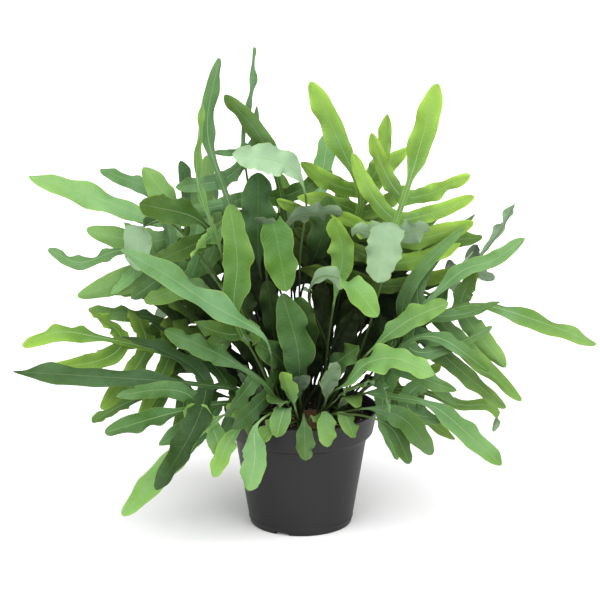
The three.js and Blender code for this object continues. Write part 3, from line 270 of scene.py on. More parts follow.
# Tufts of young undivided leaves at the front of the crown.
FRONT_TUFTS = [
    clump_at([-4, -38],
        blade(11, 48, SKYWARD, [-12, -62, 142], [-18, -86, 156], [-26, -104, 130]),
        blade(10, 48, SKYWARD, [2, -64, 142], [3, -90, 148], [5, -104, 104]),
        blade(11, 52, SKYWARD, [-6, -52, 152], [-4, -68, 176], [6, -82, 192]),
        blade(12, 48, SKYWARD, [-12, -48, 142], [-32, -66, 158], [-56, -82, 156])),
    clump_at([20, -37],
        blade(10, 48, SKYWARD, [24, -66, 142], [30, -90, 146], [36, -104, 104]),
        blade(10, 44, SKYWARD, [34, -62, 142], [48, -84, 152], [64, -98, 130]),
        blade(11, 58, SKYWARD, [34, -50, 150], [54, -64, 172], [84, -76, 184]),
        blade(10, 60, SKYWARD, [26, -54, 152], [30, -72, 185], [38, -84, 208])),
    clump_at([-3, -54],
        blade(10, 44, SKYWARD, [-12, -68, 136], [-26, -84, 150], [-44, -98, 142]),
        blade(11, 46, SKYWARD, [-4, -70, 140], [-12, -84, 162], [-22, -92, 180]),
        blade(10, 44, SKYWARD, [6, -68, 138], [16, -84, 152], [28, -96, 140])),
]

# Finish of the blades.
COLUMNS = np.array([-1, -0.78, -0.5, -0.2, 0, 0.2, 0.5, 0.78, 1])
ROW_LENGTH = 3.6
BLADE_HALF_THICKNESS = 0.28
EDGE_HALF_THICKNESS = 0.13
THICKENING = (BLADE_HALF_THICKNESS - EDGE_HALF_THICKNESS) * (1 - np.abs(COLUMNS) ** 3)
HALF_THICKNESSES = (EDGE_HALF_THICKNESS + THICKENING)[:, None]
ROW_CROWDING = 1.25
GROOVE_SHARE = 0.16
GROOVE_FULL_WIDTH = 5
RIPPLE_WIDTH = 0.045
WAIST_DEPTH = 0.14
WAIST_PLACE = 0.14
WAIST_SPREAD = 0.09
SPINE_LIGHTS = (0.66, 1.04)
LOBE_LIGHTS = (0.5, 1.05)
TUBE_LIGHT = 0.8
STIPE_RADIUS = 1.25
STIPE_SIDES = 7
STIPE_ROW_LENGTH = 6
MIDRIB_SHORTFALL = 0.06
RACHIS_THINNING = 0.35
MIDRIB_THINNING = 0.62
RACHIS_DROP = 0.55
RIB_RADIUS = 0.5
RIB_THINNING = 0.34
RIB_SIDES = 5
RIB_MAP_LENGTH = 60
TIP_MATCH = 0.15

# Shapes of the pot, the soil and the rhizome.
POT_SIDES = 144
POT_SHARP_ANGLE = 42
RING_HEIGHT = 7.5
RING_PROUD = 0.35
SLOT_ROUNDING = 1.6
SOIL_RINGS = 44
SOIL_SIDES = 160
SOIL_WAVES = 26
SOIL_GAP = 1.9
SOIL_DEPTH = 9
SOIL_FLOOR_INSET = 2.4
SOIL_SHARP_ANGLE = 35
BITS_INSET = 3
BIT_JITTER = 0.35
BIT_LIFT = 0.2
# How many bits of each kind, their sizes, how flat they lie, and their tone.
SOIL_BITS = [
    (900, (0.7, 2.0), 0.6, 0.3),
    (260, (1.6, 3.4), 0.35, 0.7),
    (110, (0.8, 1.9), 0.9, 1.0),
]
RHIZOME_ROWS = 40
RHIZOME_SIDES = 20
RHIZOME_FULLNESS = 0.96
SCALES_EACH = 420
# No leaf map and no tone.
BLANK = np.zeros(4)

# Colours, light and camera.
VEIN_SPACING = 4.6
VEIN_SLANT = 0.62
VEIN_WOBBLE = 3.2
NET_SCALE = 0.62
MOTTLE = 1.8
LEAF_GREEN = (0.024, 0.115, 0.007)
LEAF_BLOOM = (0.13, 0.27, 0.125)
LEAF_YOUNG = (0.3, 0.5, 0.06)
LEAF_UNDER = (0.27, 0.39, 0.25)
LEAF_VEIN = (0.34, 0.46, 0.2)
LEAF_EDGE = (0.3, 0.44, 0.1)
UNDER_SHARE = 0.8
STIPE_GREEN = (0.075, 0.13, 0.03)
POT_COLOUR = (0.0075, 0.0075, 0.0078)
POT_DUST = (0.018, 0.018, 0.0185)
SOIL_DARK = (0.012, 0.009, 0.006)
SOIL_BROWN = (0.05, 0.032, 0.02)
BARK = (0.13, 0.075, 0.04)
GRAIN = (0.32, 0.3, 0.26)
RHIZOME_DARK = (0.07, 0.035, 0.015)
RHIZOME_TAN = (0.11, 0.06, 0.025)
RHIZOME_PALE = (0.24, 0.15, 0.07)
FLOOR_COLOUR = (0.97, 0.97, 0.97)
FLOOR_SHADE = (0.95, 0.95, 0.95)
FLOOR_SIZE = 16
FLOOR_MIDDLE = (0, 2, 0)
WORLD_STRENGTH = 0.46
SUN_STRENGTH = 5.1
SUN_SPREAD = 95
SUN_TURN = (35, 4, 0)
CAMERA_LENS = 148.1
CAMERA_PLACE = (-0.001, -2.6, 0.95)
CAMERA_PITCH = 15


def tint(young, bloom, dark, **more):
    """A leaf's finish: how yellow-green, how blue-green and how dark it is."""
    return {"young": young, "bloom": bloom, "dark": dark, **more}


# The finish of the leaves that the photograph shows well; the others draw theirs.
FINISHES = {
    "frond_01": tint(0.35, 0.6, 0.1),
    "frond_02": tint(0.25, 0.95, 0, serrated=0.05),
    "frond_03": tint(0.5, 0.4, 0.2),
    "frond_04": tint(0.12, 0.5, 0.6),
    "frond_05": tint(0.35, 0.85, 0.12),
    "frond_06": tint(0.9, 0.45, 0),
    "frond_07": tint(0.75, 0.3, 0.12),
    "frond_08": tint(0.45, 0.65, 0.12),
    "frond_09": tint(0.05, 0.85, 0.3),
    "frond_10": tint(0.15, 0.75, 0.2),
    "frond_11": tint(0.3, 0.3, 0.45),
    "frond_13": tint(0.05, 0.8, 0.35),
    "frond_14": tint(0.45, 0.6, 0),
    "frond_15": tint(0.32, 0.25, 0.3, serrated=0.05),
    "frond_16": tint(0.35, 0.9, 0, serrated=0.1, underside=1),
    "frond_17": tint(0.2, 0.75, 0.15),
    "frond_18": tint(0.2, 0.6, 0.2),
    "frond_19": tint(0.25, 0.7, 0.15),
    "frond_20": tint(0.6, 0.4, 0.1),
    "frond_23": tint(0.3, 0.7, 0),
    "frond_24": tint(0.3, 0.5, 0.2),
    "frond_25": tint(0.1, 0.4, 0.5),
    "frond_26": tint(0.2, 0.3, 0.4),
    "frond_28": tint(0.8, 0.3, 0),
    "frond_29": tint(0.15, 0.7, 0.2),
    "frond_30": tint(0.1, 0.8, 0.3),
    "frond_33": tint(0.75, 0.3, 0),
    "frond_34": tint(0.15, 0.5, 0.45),
    "frond_36": tint(0.1, 1, 0, serrated=0.1, underside=1),
    "front_clump_1_leaf_1": tint(0.3, 0.1, 0.5, serrated=0.06),
    "front_clump_1_leaf_2": tint(0.1, 0.85, 0.2),
    "front_clump_2_leaf_1": tint(0.05, 0.5, 0.6),
    "front_clump_2_leaf_2": tint(0.3, 0.3, 0.5),
    "front_clump_2_leaf_3": tint(0.2, 0.3, 0.55),
    "front_clump_3_leaf_1": tint(0.5, 0.3, 0.25),
    "front_clump_3_leaf_2": tint(0.35, 0.6, 0.05),
    "front_clump_3_leaf_3": tint(0.4, 0.4, 0.25),
    "front_clump_4_leaf_4": tint(0.2, 1, 0, underside=1),
}
# Painted shade: clumps in the middle of the crown and behind the front are painted darker where shade
# falls on them; partly this is older leaves being darker.
CLUMP_DARKNESS_AND_SHADE = {"front_clump_4": 0.5, "front_clump_5": 0.5, "front_clump_6": 0.45,
            "middle_clump": 0.75}
UNDERSIDE_GROWTH = 0.15
LEAF_SHARP_ANGLE = 60
# Painted shade deep in the crown: an ellipsoid inside which leaves are painted darker and less blue.
CROWN_MIDDLE = [0, 40, 215]
CROWN_RADII = [225, 135, 175]
CROWN_CORE = 0.45
CROWN_SHADE_STRENGTH = 0.97


def random_from(seed):
    """Draws numbers from a seed as the part's source does."""
    state = [(seed * 2654435761) % 2**32]

    def draw(low, high):
        state[0] = (state[0] * 1664525 + 1013904223) % 2**32
        return low + (high - low) * state[0] / 2**32

    return draw


def smooth(x):
    t = np.clip(x, 0, 1)
    return t * t * (3 - 2 * t)


def unit(v):
    return v / np.linalg.norm(v, axis=-1, keepdims=True)


def dot(a, b):
    return np.sum(a * b, axis=-1, keepdims=True)


def square_to(v, axis):
    """The part of v that stands square to the unit vector axis."""
    return unit(v - dot(v, axis) * axis)


def turned(v, axis, angle):
    """v turned by angle about the unit vector axis."""
    c, s = np.cos(angle)[..., None], np.sin(angle)[..., None]
    return v * c + np.cross(axis, v) * s + axis * dot(axis, v) * (1 - c)


def polar(radius, degrees, *height):
    angle = math.radians(degrees)
    return [radius * math.cos(angle), radius * math.sin(angle), *height]


def spiral(step, k, start=0.0):
    """The k-th point of a sunflower spiral, the order in which places were tried for room."""
    turn = GOLDEN_ANGLE * k + start
    return step * math.sqrt(k) * np.array([math.cos(turn), math.sin(turn)])


def soil_height(radius, angle):
    lumps = np.sin(3 * angle + radius / 9) + np.sin(5 * angle - radius / 6)
    mound = SOIL_MOUND * np.cos((math.pi / 2) * np.minimum(1, radius / RIM_RADIUS))
    return SOIL_EDGE_HEIGHT + mound + SOIL_LUMP * lumps * smooth(radius / 20)


def inner_shade(places):
    """Painted shade: leaves deep in the crown, where the foliage shades them, are painted darker and
    less blue; older leaves there are darker too.
    """
    depth = np.linalg.norm((places - CROWN_MIDDLE) / CROWN_RADII, axis=1)
    return 1 - CROWN_SHADE_STRENGTH * (1 - smooth((depth - CROWN_CORE) / (1 - CROWN_CORE)))


class Curve:
    """A centripetal Catmull-Rom curve through points, walked by its length."""

    def __init__(self, points):
        self.points = np.array(points, float)
        self.steps = np.linspace(0, 1, 201)
        hops = np.linalg.norm(np.diff(self.at_step(self.steps), axis=0), axis=1)
        self.arcs = np.concatenate([[0], np.cumsum(hops)])
        self.length = self.arcs[-1]

    def at_step(self, t):
        p = self.points
        last = len(p) - 1
        t = np.clip(t, 0, 1) * last
        i = np.minimum(t.astype(int), last - 1)
        w = (t - i)[:, None]
        ends = np.vstack([2 * p[0] - p[1], p, 2 * p[-1] - p[-2]])
        p0, p1, p2, p3 = (ends[i + k] for k in range(4))
        d0, d1, d2 = (dot(b - a, b - a) ** 0.25 for a, b in ((p0, p1), (p1, p2), (p2, p3)))
        t1 = ((p1 - p0) / d0 - (p2 - p0) / (d0 + d1) + (p2 - p1) / d1) * d1
        t2 = ((p2 - p1) / d1 - (p3 - p1) / (d1 + d2) + (p3 - p2) / d2) * d1
        square = -3 * p1 + 3 * p2 - 2 * t1 - t2
        cube = 2 * p1 - 2 * p2 + t1 + t2
        return p1 + t1 * w + square * w**2 + cube * w**3

    def at(self, s):
        """Place and tangent at the lengths s."""
        t = np.interp(s, self.arcs, self.steps)
        delta = 1e-4
        return self.at_step(t), unit(self.at_step(t + delta) - self.at_step(t - delta))


def side_of(tip):
    """The level direction square to the one in which a tip leans out."""
    return np.cross(UP, unit(tip * [1, 1, 0]))


def spine_curve(frond, k):
    sway = spiral(SPINE_SPIRAL, k, frond["number"])
    path = np.array(frond["path"], float)
    foot = frond.get("foot")
    if foot is None:
        away = np.linalg.norm(path[0, :2])
        foot = path[0, :2] / away * min(FOOT_SHARE * away, FOOT_REACH) + FOOT_SWAY * sway
    ground = soil_height(np.hypot(*foot), math.atan2(foot[1], foot[0]))
    move = side_of(path[-1]) * sway[0] + UP * sway[1]
    points = [[*foot, ground - ROOT_DEPTH], [*foot, ground + ROOT_DEPTH]]
    for i, place in enumerate(path):
        points.append(place + ((i + 1) / len(path)) ** 2 * move)
    return Curve(points)


class Spine:
    """A frond's curve with its face direction and twist, read at any length."""

    def __init__(self, frond, k):
        self.frond = frond
        self.curve = spine_curve(frond, k)
        self.length = self.curve.length
        chord = self.curve.points[-1] - self.curve.points[0]
        self.across_aim = unit(np.cross(np.array(frond["face"], float), chord))
        self.end_start = self.length - frond["end"]
        self.blade_start = self.end_start - frond["pairs"] * frond["pitch"]

    def frames(self, s):
        place, tangent = self.curve.at(s)
        across = square_to(self.across_aim, tangent)
        across = turned(across, tangent, self.frond["twist"] * s / self.length)
        return place, tangent, across, np.cross(tangent, across)


def strap_width(v):
    late = np.maximum(0, (v - STRAP_TAPER) / (1 - STRAP_TAPER))
    return np.maximum(0, 1 - late**3) ** STRAP_BLUNT


def complete_frond(frond, index):
    random = random_from(300 + index)
    done = {**frond, "number": index + 1, "waves": 3}
    done["reach"] = frond.get("reach") or frond["end"] * random(0.72, 0.88)
    done["twist"] = random(-0.25, 0.25)
    done["phase"] = random(0, 6.28)
    done["lobe_width"] = frond.get("lobe_width") or LOBE_SHARE * frond["width"]
    return done


def ruled_tuft(index):
    random = random_from(800 + index)
    share = index / (TUFT_COUNT - 1)
    middle = TUFT_BEARINGS[0] + (TUFT_BEARINGS[1] - TUFT_BEARINGS[0]) * share
    leaves = []
    for k in range(TUFT_LEAVES):
        bearing = middle + TUFT_FAN * (k - (TUFT_LEAVES - 1) / 2) + random(-6, 6)
        raised = random(0.6, 1) if k % 2 else random(0, 0.3)
        path = [
            polar(62 - 12 * raised, bearing, 141 + 14 * raised),
            polar(86 - 22 * raised, bearing, 154 + 30 * raised),
            polar(106 - 26 * raised, bearing, 132 + 80 * raised),
        ]
        leaves.append(blade(random(7.5, 9.5), random(46, 60), SKYWARD, *path))
    return clump_at(polar(TUFT_FOOT, middle), *leaves)


def back_clump(index):
    random = random_from(500 + index)
    middle = 90 + BACK_SPREAD * ((index + 0.5) / BACK_COUNT - 0.5)
    start = math.radians(BACK_RISE)
    leaves = []
    for k in range(BACK_FRONDS):
        bearing = middle + BACK_FAN * (k - (BACK_FRONDS - 1) / 2) + random(-5, 5)
        lift = math.radians(BACK_LIFTS[(2 * k + index) % BACK_FRONDS] + random(-4, 4))
        length = random(*BACK_LENGTH) * (0.8 + 0.2 * math.sin(math.radians(bearing)))
        bend = 2 * (start - lift)
        path = []
        for share in (0.3, 0.65, 1):
            slope = start - bend * share
            radial = BACK_FOOT + 14 * math.cos(lift)
            radial += length / bend * (math.sin(start) - math.sin(slope))
            rise = length / bend * (math.cos(slope) - math.cos(start))
            path.append(polar(radial, bearing, SOIL_EDGE_HEIGHT + 8 + rise))
        leaves.append(blade(BACK_WIDTH, BACK_END, SKYWARD, *path, pairs=2))
    return clump_at(polar(BACK_FOOT, middle), *leaves)


def node_points(name):
    """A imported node's corners, in millimetres."""
    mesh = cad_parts[name].data
    co = np.empty(3 * len(mesh.vertices), np.float32)
    mesh.vertices.foreach_get("co", co)
    return co.reshape(-1, 3).astype(float) / MM


def tip_gap(corners, tip):
    """How far the node is from having both faces' corners at this tip."""
    near = np.sqrt(np.partition(np.sum((corners - tip) ** 2, axis=1), 1)[:2])
    return float(np.sum(np.abs(near - CAD_HALF_THICKNESS)))


def settled_sway(frond, corners):
    """The sway that the part's clearance test chose: the one whose tip is in the node."""
    tip = np.array(frond["path"][-1], float)
    side = side_of(tip)
    sways = [spiral(SPINE_SPIRAL, k, frond["number"]) for k in range(SPINE_TRIES)]
    gaps = [tip_gap(corners, tip + side * sway[0] + UP * sway[1]) for sway in sways]
    k = int(np.argmin(gaps))
    if gaps[k] > TIP_MATCH:
        raise SystemExit(f"no sway of frond {frond['number']} is in its node: {gaps[k]:.2f} mm")
    return k


def lobe_slots(spine):
    """Where a frond's side lobes leave its wing, and how each one is drawn."""
    frond = spine.frond
    random = random_from(100 + frond["number"])
    slots = []
    for rank in range(frond["pairs"]):
        pair = frond["pairs"] - 1 - rank
        lower = (rank + 1) / frond["pairs"]
        share = 0.8 if rank == 0 else 1.04 - 0.16 * lower
        for side in (-1, 1):
            slot = {
                "side": side,
                "pair": pair,
                "start": spine.blade_start + pair * frond["pitch"],
                "angle": math.radians(LOBE_ANGLE + LOBE_ANGLE_LOWER * lower + random(-14, 14)),
                "length": frond["reach"] * share * random(0.85, 1.12),
                "width": frond["lobe_width"] * random(0.88, 1.12),
                "droop": random(-0.2, 0.45),
                "hang": random(0, 0.35),
                "twist": random(-0.95, 0.95),
                "phase": random(0, 6.28),
                "waves": 2,
                "base": 0.5 * LOBE_BASE_SHARE * frond["pitch"],
            }
            slot["leave"] = min(slot["angle"] + LOBE_LEAVE, LOBE_LEAVE_MOST)
            slots.append(slot)
    for tip in frond["tips"]:
        for slot in slots:
            place, _, across, _ = spine.frames(np.array([slot["start"]]))
            aimed = -1 if dot(np.array(tip) - place[0], across[0])[0] < 0 else 1
            if "tip" not in slot and aimed == slot["side"]:
                slot["tip"] = tip
                break
    return slots


def lobe_plan(spine, slot):
    stations = np.array([slot["start"], slot["start"] + 2 * slot["base"]])
    place, _, across, normals = spine.frames(stations)
    near, far = place + across * slot["side"] * WING_HALF_WIDTH
    base = (near + far) / 2
    tangent = unit(far - near)
    normal = square_to(normals[0] + normals[1], tangent)
    outward = np.cross(normal, tangent) * slot["side"]
    if "tip" in slot:
        tip = np.array(slot["tip"], float)
    else:
        tip = tangent * math.cos(slot["angle"]) + outward * math.sin(slot["angle"])
        tip = base + slot["length"] * (tip - normal * slot["droop"] - UP * slot["hang"])
    return {"base": base, "tangent": tangent, "normal": normal, "outward": outward, "tip": tip}


def settled_lobe(slot, plan, corners):
    """The lobe's tip as the clearance test left it, or None where the lobe had no room."""
    aim = unit(plan["tip"] - plan["base"])
    sideways = square_to(plan["tangent"], aim)
    sways = [spiral(LOBE_SPIRAL, k, slot["phase"]) for k in range(LOBE_TRIES)]
    tips = [plan["tip"] + sideways * sway[0] + np.cross(aim, sideways) * sway[1] for sway in sways]
    gaps = [tip_gap(corners, tip) for tip in tips]
    k = int(np.argmin(gaps))
    return tips[k] if gaps[k] < TIP_MATCH else None


def flipped(faces):
    """The same faces wound the other way, with quads split along the same diagonal."""
    triangle = faces[:, 2:3] == faces[:, 3:4]
    return np.where(triangle, faces[:, [1, 0, 2, 2]], faces[:, [0, 3, 2, 1]])


def ring_quads(rows, sides):
    """Quads round a stack of rings that are numbered one after the other."""
    grid = np.arange(rows * sides).reshape(rows, sides)
    near, far = grid[:-1], grid[1:]
    return np.stack([near, np.roll(near, -1, 1), np.roll(far, -1, 1), far], -1).reshape(-1, 4)


def closed_rings(rings, start, end):
    """Points and faces of a stack of rings, each end closed by a fan round its middle."""
    rows, sides = rings.shape[:2]
    ring = np.arange(sides)
    after = (ring + 1) % sides
    middle = np.full(sides, rows * sides)
    last = (rows - 1) * sides
    fans = [np.stack([after, ring, middle, middle], 1),
            np.stack([last + ring, last + after, middle + 1, middle + 1], 1)]
    points = np.vstack([rings.reshape(-1, 3), [start, end]])
    return points, np.vstack([ring_quads(rows, sides), *fans])


def new_mesh(name, places, faces, material):
    """A smooth mesh from places in millimetres; a face that names a point twice is a triangle."""
    triangle = faces[:, 2] == faces[:, 3]
    sizes = np.where(triangle, 3, 4)
    keep = np.ones_like(faces, bool)
    keep[triangle, 3] = False
    mesh = bpy.data.meshes.new(name)
    mesh.vertices.add(len(places))
    mesh.vertices.foreach_set("co", (places * MM).astype(np.float32).ravel())
    mesh.loops.add(int(sizes.sum()))
    mesh.loops.foreach_set("vertex_index", faces[keep].astype(np.int32))
    mesh.polygons.add(len(faces))
    mesh.polygons.foreach_set("loop_start", (np.cumsum(sizes) - sizes).astype(np.int32))
    mesh.update(calc_edges=True)
    mesh.shade_smooth()
    mesh.materials.append(material)
    return mesh


class Gathered:
    """Points with leaf maps and finish values, and faces over them."""

    def __init__(self):
        self.rows = []
        self.faces = []
        self.count = 0

    def add(self, places, *values):
        """Adds points; each further value is one row for all of them, or a row for each."""
        count = len(places)
        row = [places]
        for value in values:
            row.append(np.array(np.broadcast_to(value, (count, np.shape(value)[-1])), float))
        self.rows.append(row)
        self.count += count
        return np.arange(self.count - count, self.count)

    def stacked(self):
        return [np.vstack(column) for column in zip(*self.rows)]


class Sheet(Gathered):
    """A thin leaf surface; its points also have a thickness."""

    def bridge(self, low, high, flip):
        """Faces between two rows of point numbers."""
        quads = np.stack([low[:-1], low[1:], high[1:], high[:-1]], axis=1)
        self.faces.append(quads if flip else flipped(quads))

    def close(self, rows, tip, maps, tone, flip):
        """Faces between a blade's rows, and the point that it ends in."""
        end = self.add(tip, maps, tone, [EDGE_HALF_THICKNESS])
        for low, high in zip(rows, [*rows[1:], np.repeat(end, len(rows[0]))]):
            self.bridge(low, high, flip)


class Solid(Gathered):
    """Closed shells and tubes gathered into one mesh."""

    def add_part(self, places, maps, tones, faces):
        self.faces.append(faces + self.count)
        self.add(places, maps, tones)

    def add_shell(self, sheet, turned_over):
        """Both faces of a sheet, and a wall along each free edge; one face is the underside."""
        places, maps, tones, halves = sheet.stacked()
        faces = np.vstack(sheet.faces)
        n = len(places)
        a, b, c, d = (places[faces[:, k]] for k in range(4))
        across = np.cross(c - a, d - b)
        normals = np.zeros_like(places)
        for k in range(4):
            np.add.at(normals, faces[:, k], across)
        normals = normals / np.maximum(np.linalg.norm(normals, axis=1, keepdims=True), 1e-9)
        both = np.vstack([places + normals * halves, places - normals * halves])
        under = tones.copy()
        (tones if turned_over else under)[:, 3] = 1 - tones[:, 3]
        edges = np.vstack([faces[:, [k, (k + 1) % 4]] for k in range(4)])
        edges = edges[edges[:, 0] != edges[:, 1]]
        ways = edges[:, 0] * n + edges[:, 1]
        back = edges[:, 1] * n + edges[:, 0]
        free = edges[~np.isin(ways, back)]
        wall = np.stack([free[:, 1], free[:, 0], free[:, 0] + n, free[:, 1] + n], axis=1)
        self.add_part(both, np.vstack([maps, maps]), np.vstack([tones, under]),
                      np.vstack([faces, flipped(faces) + n, wall]))

    def add_tube(self, places, tangents, radii, maps, tones, sides):
        """A round tube, closed at both ends."""
        guide = np.where(np.abs(tangents[:, 2:3]) < 0.9, [[0.0, 0, 1]], [[1.0, 0, 0]])
        first = square_to(guide, tangents)
        second = np.cross(tangents, first)
        angles = np.arange(sides) * 2 * math.pi / sides
        ring = (first[:, None] * np.cos(angles)[None, :, None]
                + second[:, None] * np.sin(angles)[None, :, None])
        points = places[:, None] + ring * radii[:, None, None]
        rows = len(places)
        k = np.arange(1, sides - 1)
        cap = np.stack([0 * k, k, k + 1, k + 1], axis=1)
        self.add_part(points.reshape(-1, 3), np.repeat(maps, sides, axis=0),
                      np.repeat(tones, sides, axis=0),
                      np.vstack([ring_quads(rows, sides), flipped(cap), cap + (rows - 1) * sides]))

    def mesh(self, name, material):
        places, maps, tones = self.stacked()
        mesh = new_mesh(name, places, np.vstack(self.faces), material)
        for key, kind, field, values in (("leafmap", "FLOAT_VECTOR", "vector", maps[:, :3]),
                                         ("margin", "FLOAT", "value", maps[:, 3]),
                                         ("tone", "FLOAT_COLOR", "color", tones)):
            layer = mesh.attributes.new(key, kind, "POINT")
            layer.data.foreach_set(field, values.astype(np.float32).ravel())
        return mesh


def piece(name, mesh, slot, *nodes):
    obj = bpy.data.objects.new(name, mesh)
    bpy.context.scene.collection.objects.link(obj)
    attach(obj, "root")
    if nodes:
        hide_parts(*nodes)
    return obj


def relief(v, half, lobe, habit):
    """How far each column stands off the blade, and the share that its edge adds to the width."""
    v, half = v[:, None], half[:, None]
    x = np.abs(COLUMNS)
    side = np.where(COLUMNS < 0, -1, 1)
    phase = lobe["phase"]
    grown = smooth(v / WAVE_GROWTH)
    swing = np.sin(2 * math.pi * lobe["waves"] * v + phase + side) * grown
    turns = 2 * math.pi * habit["ripples"] * v
    ripple = np.sin(turns + 2.3 * phase + 2 * side) + 0.6 * np.sin(1.7 * turns + 5.1 * phase - side)
    ripple = ripple * grown
    height = EDGE_WAVE * swing * x**2 + habit["ripple"] * half * ripple * x**2.5
    height = height + habit["arch"] * half * x**2
    groove = np.exp(-((x / GROOVE_SHARE) ** 2)) * np.minimum(1, half / GROOVE_FULL_WIDTH)
    notch = np.sin(2 * math.pi * habit["notches"] * v + phase * 3 + side)
    notch = notch * (0.5 + 0.5 * np.sin(1.3 * turns + 7 * phase))
    widen = 1 + WIDTH_WAVE * swing + RIPPLE_WIDTH * ripple + habit["notch"] * notch * grown
    return height - habit["groove"] * groove, widen


def habit_of(random, serrated):
    """How a lobe's surface is waved: drawn for each lobe."""
    return {
        "ripples": random(1.8, 4.6),
        "ripple": random(0.1, 0.32),
        "arch": random(-0.42, 0.3),
        "groove": random(0.35, 0.7),
        "notches": random(7, 12),
        "notch": 0.02 + serrated,
    }


def tone_of(frond, light, under=0.0):
    """Finish values: youth, bloom, light, and the share of the underside's look."""
    return [frond["young"], frond["bloom"], light * (1 - frond["dark"]), under]


def crowded_shares(rows):
    """Shares along a blade, closer together towards its tip."""
    return 1 - (1 - np.linspace(0, 1, rows + 1)) ** ROW_CROWDING


def add_rows(sheet, frond, lobe, frames, v, half, lengths, random, lights):
    """A row of columns at each share v of a lobe; returns their point numbers and the light."""
    habit = habit_of(random, frond.get("serrated", 0))
    light = random(*lights)
    place, across, normal = frames
    height, widen = relief(v, half, lobe, habit)
    reach = half[:, None] * widen * COLUMNS
    points = (place[:, None] + across[:, None] * reach[..., None]
              + normal[:, None] * height[..., None])
    numbers = []
    for i, share in enumerate(v):
        # The map holds mm off the midrib, mm along it, share along and share across.
        level = 0 * reach[i]
        maps = np.stack([reach[i], level + lengths[i], level + share, np.abs(COLUMNS)], axis=1)
        under = lobe.get("underside", 0) * smooth(share / UNDERSIDE_GROWTH)
        numbers.append(sheet.add(points[i], maps, tone_of(frond, light, under), HALF_THICKNESSES))
    return numbers, light


def add_spine_strip(sheet, spine, random):
    """The winged rachis and the end lobe; returns each lobe base's edge, by pair and side."""
    frond = spine.frond
    base = 0.5 * LOBE_BASE_SHARE * frond["pitch"]
    lengths = list(np.linspace(spine.blade_start - STIPE_RUNOUT, spine.blade_start, 4)[:-1])
    marks = []
    for pair in range(frond["pairs"]):
        start = spine.blade_start + pair * frond["pitch"]
        marks.append(len(lengths))
        lengths += [*(start + base * (1 + COLUMNS)), start + base + 0.5 * frond["pitch"]]
    wing = len(lengths)
    ends = crowded_shares(max(10, round(frond["end"] / ROW_LENGTH)))[:-1]
    s = np.array([*lengths, *(spine.end_start + ends * frond["end"])])
    v = np.concatenate([np.zeros(wing), ends])
    start_half = WING_HALF_WIDTH if frond["pairs"] else STIPE_HALF_WIDTH
    growth = END_GROWTH if frond["pairs"] else SPOON_GROWTH
    half = (start_half + (frond["width"] - start_half) * smooth(v / growth)) * strap_width(v)
    runout = (s[:wing] - spine.blade_start + STIPE_RUNOUT) / STIPE_RUNOUT
    half[:wing] = STIPE_HALF_WIDTH + (start_half - STIPE_HALF_WIDTH) * smooth(runout)
    place, _, across, normal = spine.frames(s)
    numbers, light = add_rows(sheet, frond, frond, (place, across, normal), v, half, s,
                              random, SPINE_LIGHTS)
    tip = spine.frames(np.array([spine.length]))[0]
    tone = tone_of(frond, light, frond.get("underside", 0))
    sheet.close(numbers, tip, [0, spine.length, 1, 1], tone, False)
    edges = {}
    for pair, first in enumerate(marks):
        rows = np.array(numbers[first:first + len(COLUMNS)])
        edges[pair, -1], edges[pair, 1] = rows[:, 0], rows[:, -1]
    return edges


def add_lobe(sheet, spine, slot, plan, tip, edge, random):
    """A side lobe on its stretch of the wing's edge; returns its midrib's places and directions."""
    base, tangent = plan["base"], plan["tangent"]
    span = np.linalg.norm(tip - base)
    v = crowded_shares(max(9, round(span / ROW_LENGTH)))[1:-1]
    leave = plan["outward"] * math.sin(slot["leave"]) + tangent * math.cos(slot["leave"])
    bend = base + LOBE_BEND * span * leave
    t = v[:, None]
    place = base * (1 - t) ** 2 + bend * 2 * t * (1 - t) + tip * t**2
    along = unit((bend - base) * (1 - t) + (tip - bend) * t)
    normal = turned(square_to(plan["normal"], along), along, slot["twist"] * v)
    slant = smooth(v / SLANT_GROWTH)[:, None]
    across = unit(np.cross(along, normal) * slot["side"] * slant + tangent * (1 - slant))
    grown = smooth(v / LOBE_GROWTH)
    half = (slot["base"] * (1 - grown) + slot["width"] * grown) * strap_width(v)
    half = half * (1 - WAIST_DEPTH * np.exp(-(((v - WAIST_PLACE) / WAIST_SPREAD) ** 2)))
    numbers, light = add_rows(sheet, spine.frond, slot, (place, across, normal), v, half, v * span,
                              random, LOBE_LIGHTS)
    tone = tone_of(spine.frond, light)
    sheet.close([edge, *numbers], tip[None], [0, span, 1, 1], tone, slot["side"] > 0)
    return place[:-2], normal[:-2], along[:-2], v[:-2]


def tube_maps(lengths):
    return np.stack([0 * lengths, lengths, 0 * lengths - 1, 0 * lengths], axis=1)


def add_stipe(solid, spine, below):
    """The stipe, and the rachis and midrib that it runs on into, one tapering tube."""
    frond = spine.frond
    rows = max(14, round(spine.length / STIPE_ROW_LENGTH))
    s = np.linspace(0, spine.length - MIDRIB_SHORTFALL * frond["end"], rows)
    place, tangent, _, normal = spine.frames(s)
    leafy = smooth((s - spine.blade_start + STIPE_RUNOUT) / STIPE_RUNOUT)
    tip = np.clip((s - spine.end_start) / frond["end"], 0, 1)
    radii = STIPE_RADIUS - leafy * (RACHIS_THINNING + MIDRIB_THINNING * tip**0.8)
    place = place + below * normal * (RACHIS_DROP * leafy * (1 - 0.5 * tip))[:, None]
    tones = np.tile(tone_of(frond, TUBE_LIGHT), (rows, 1))
    tones[:, 3] = 1 - leafy
    solid.add_tube(place, tangent, radii, tube_maps(s), tones, STIPE_SIDES)


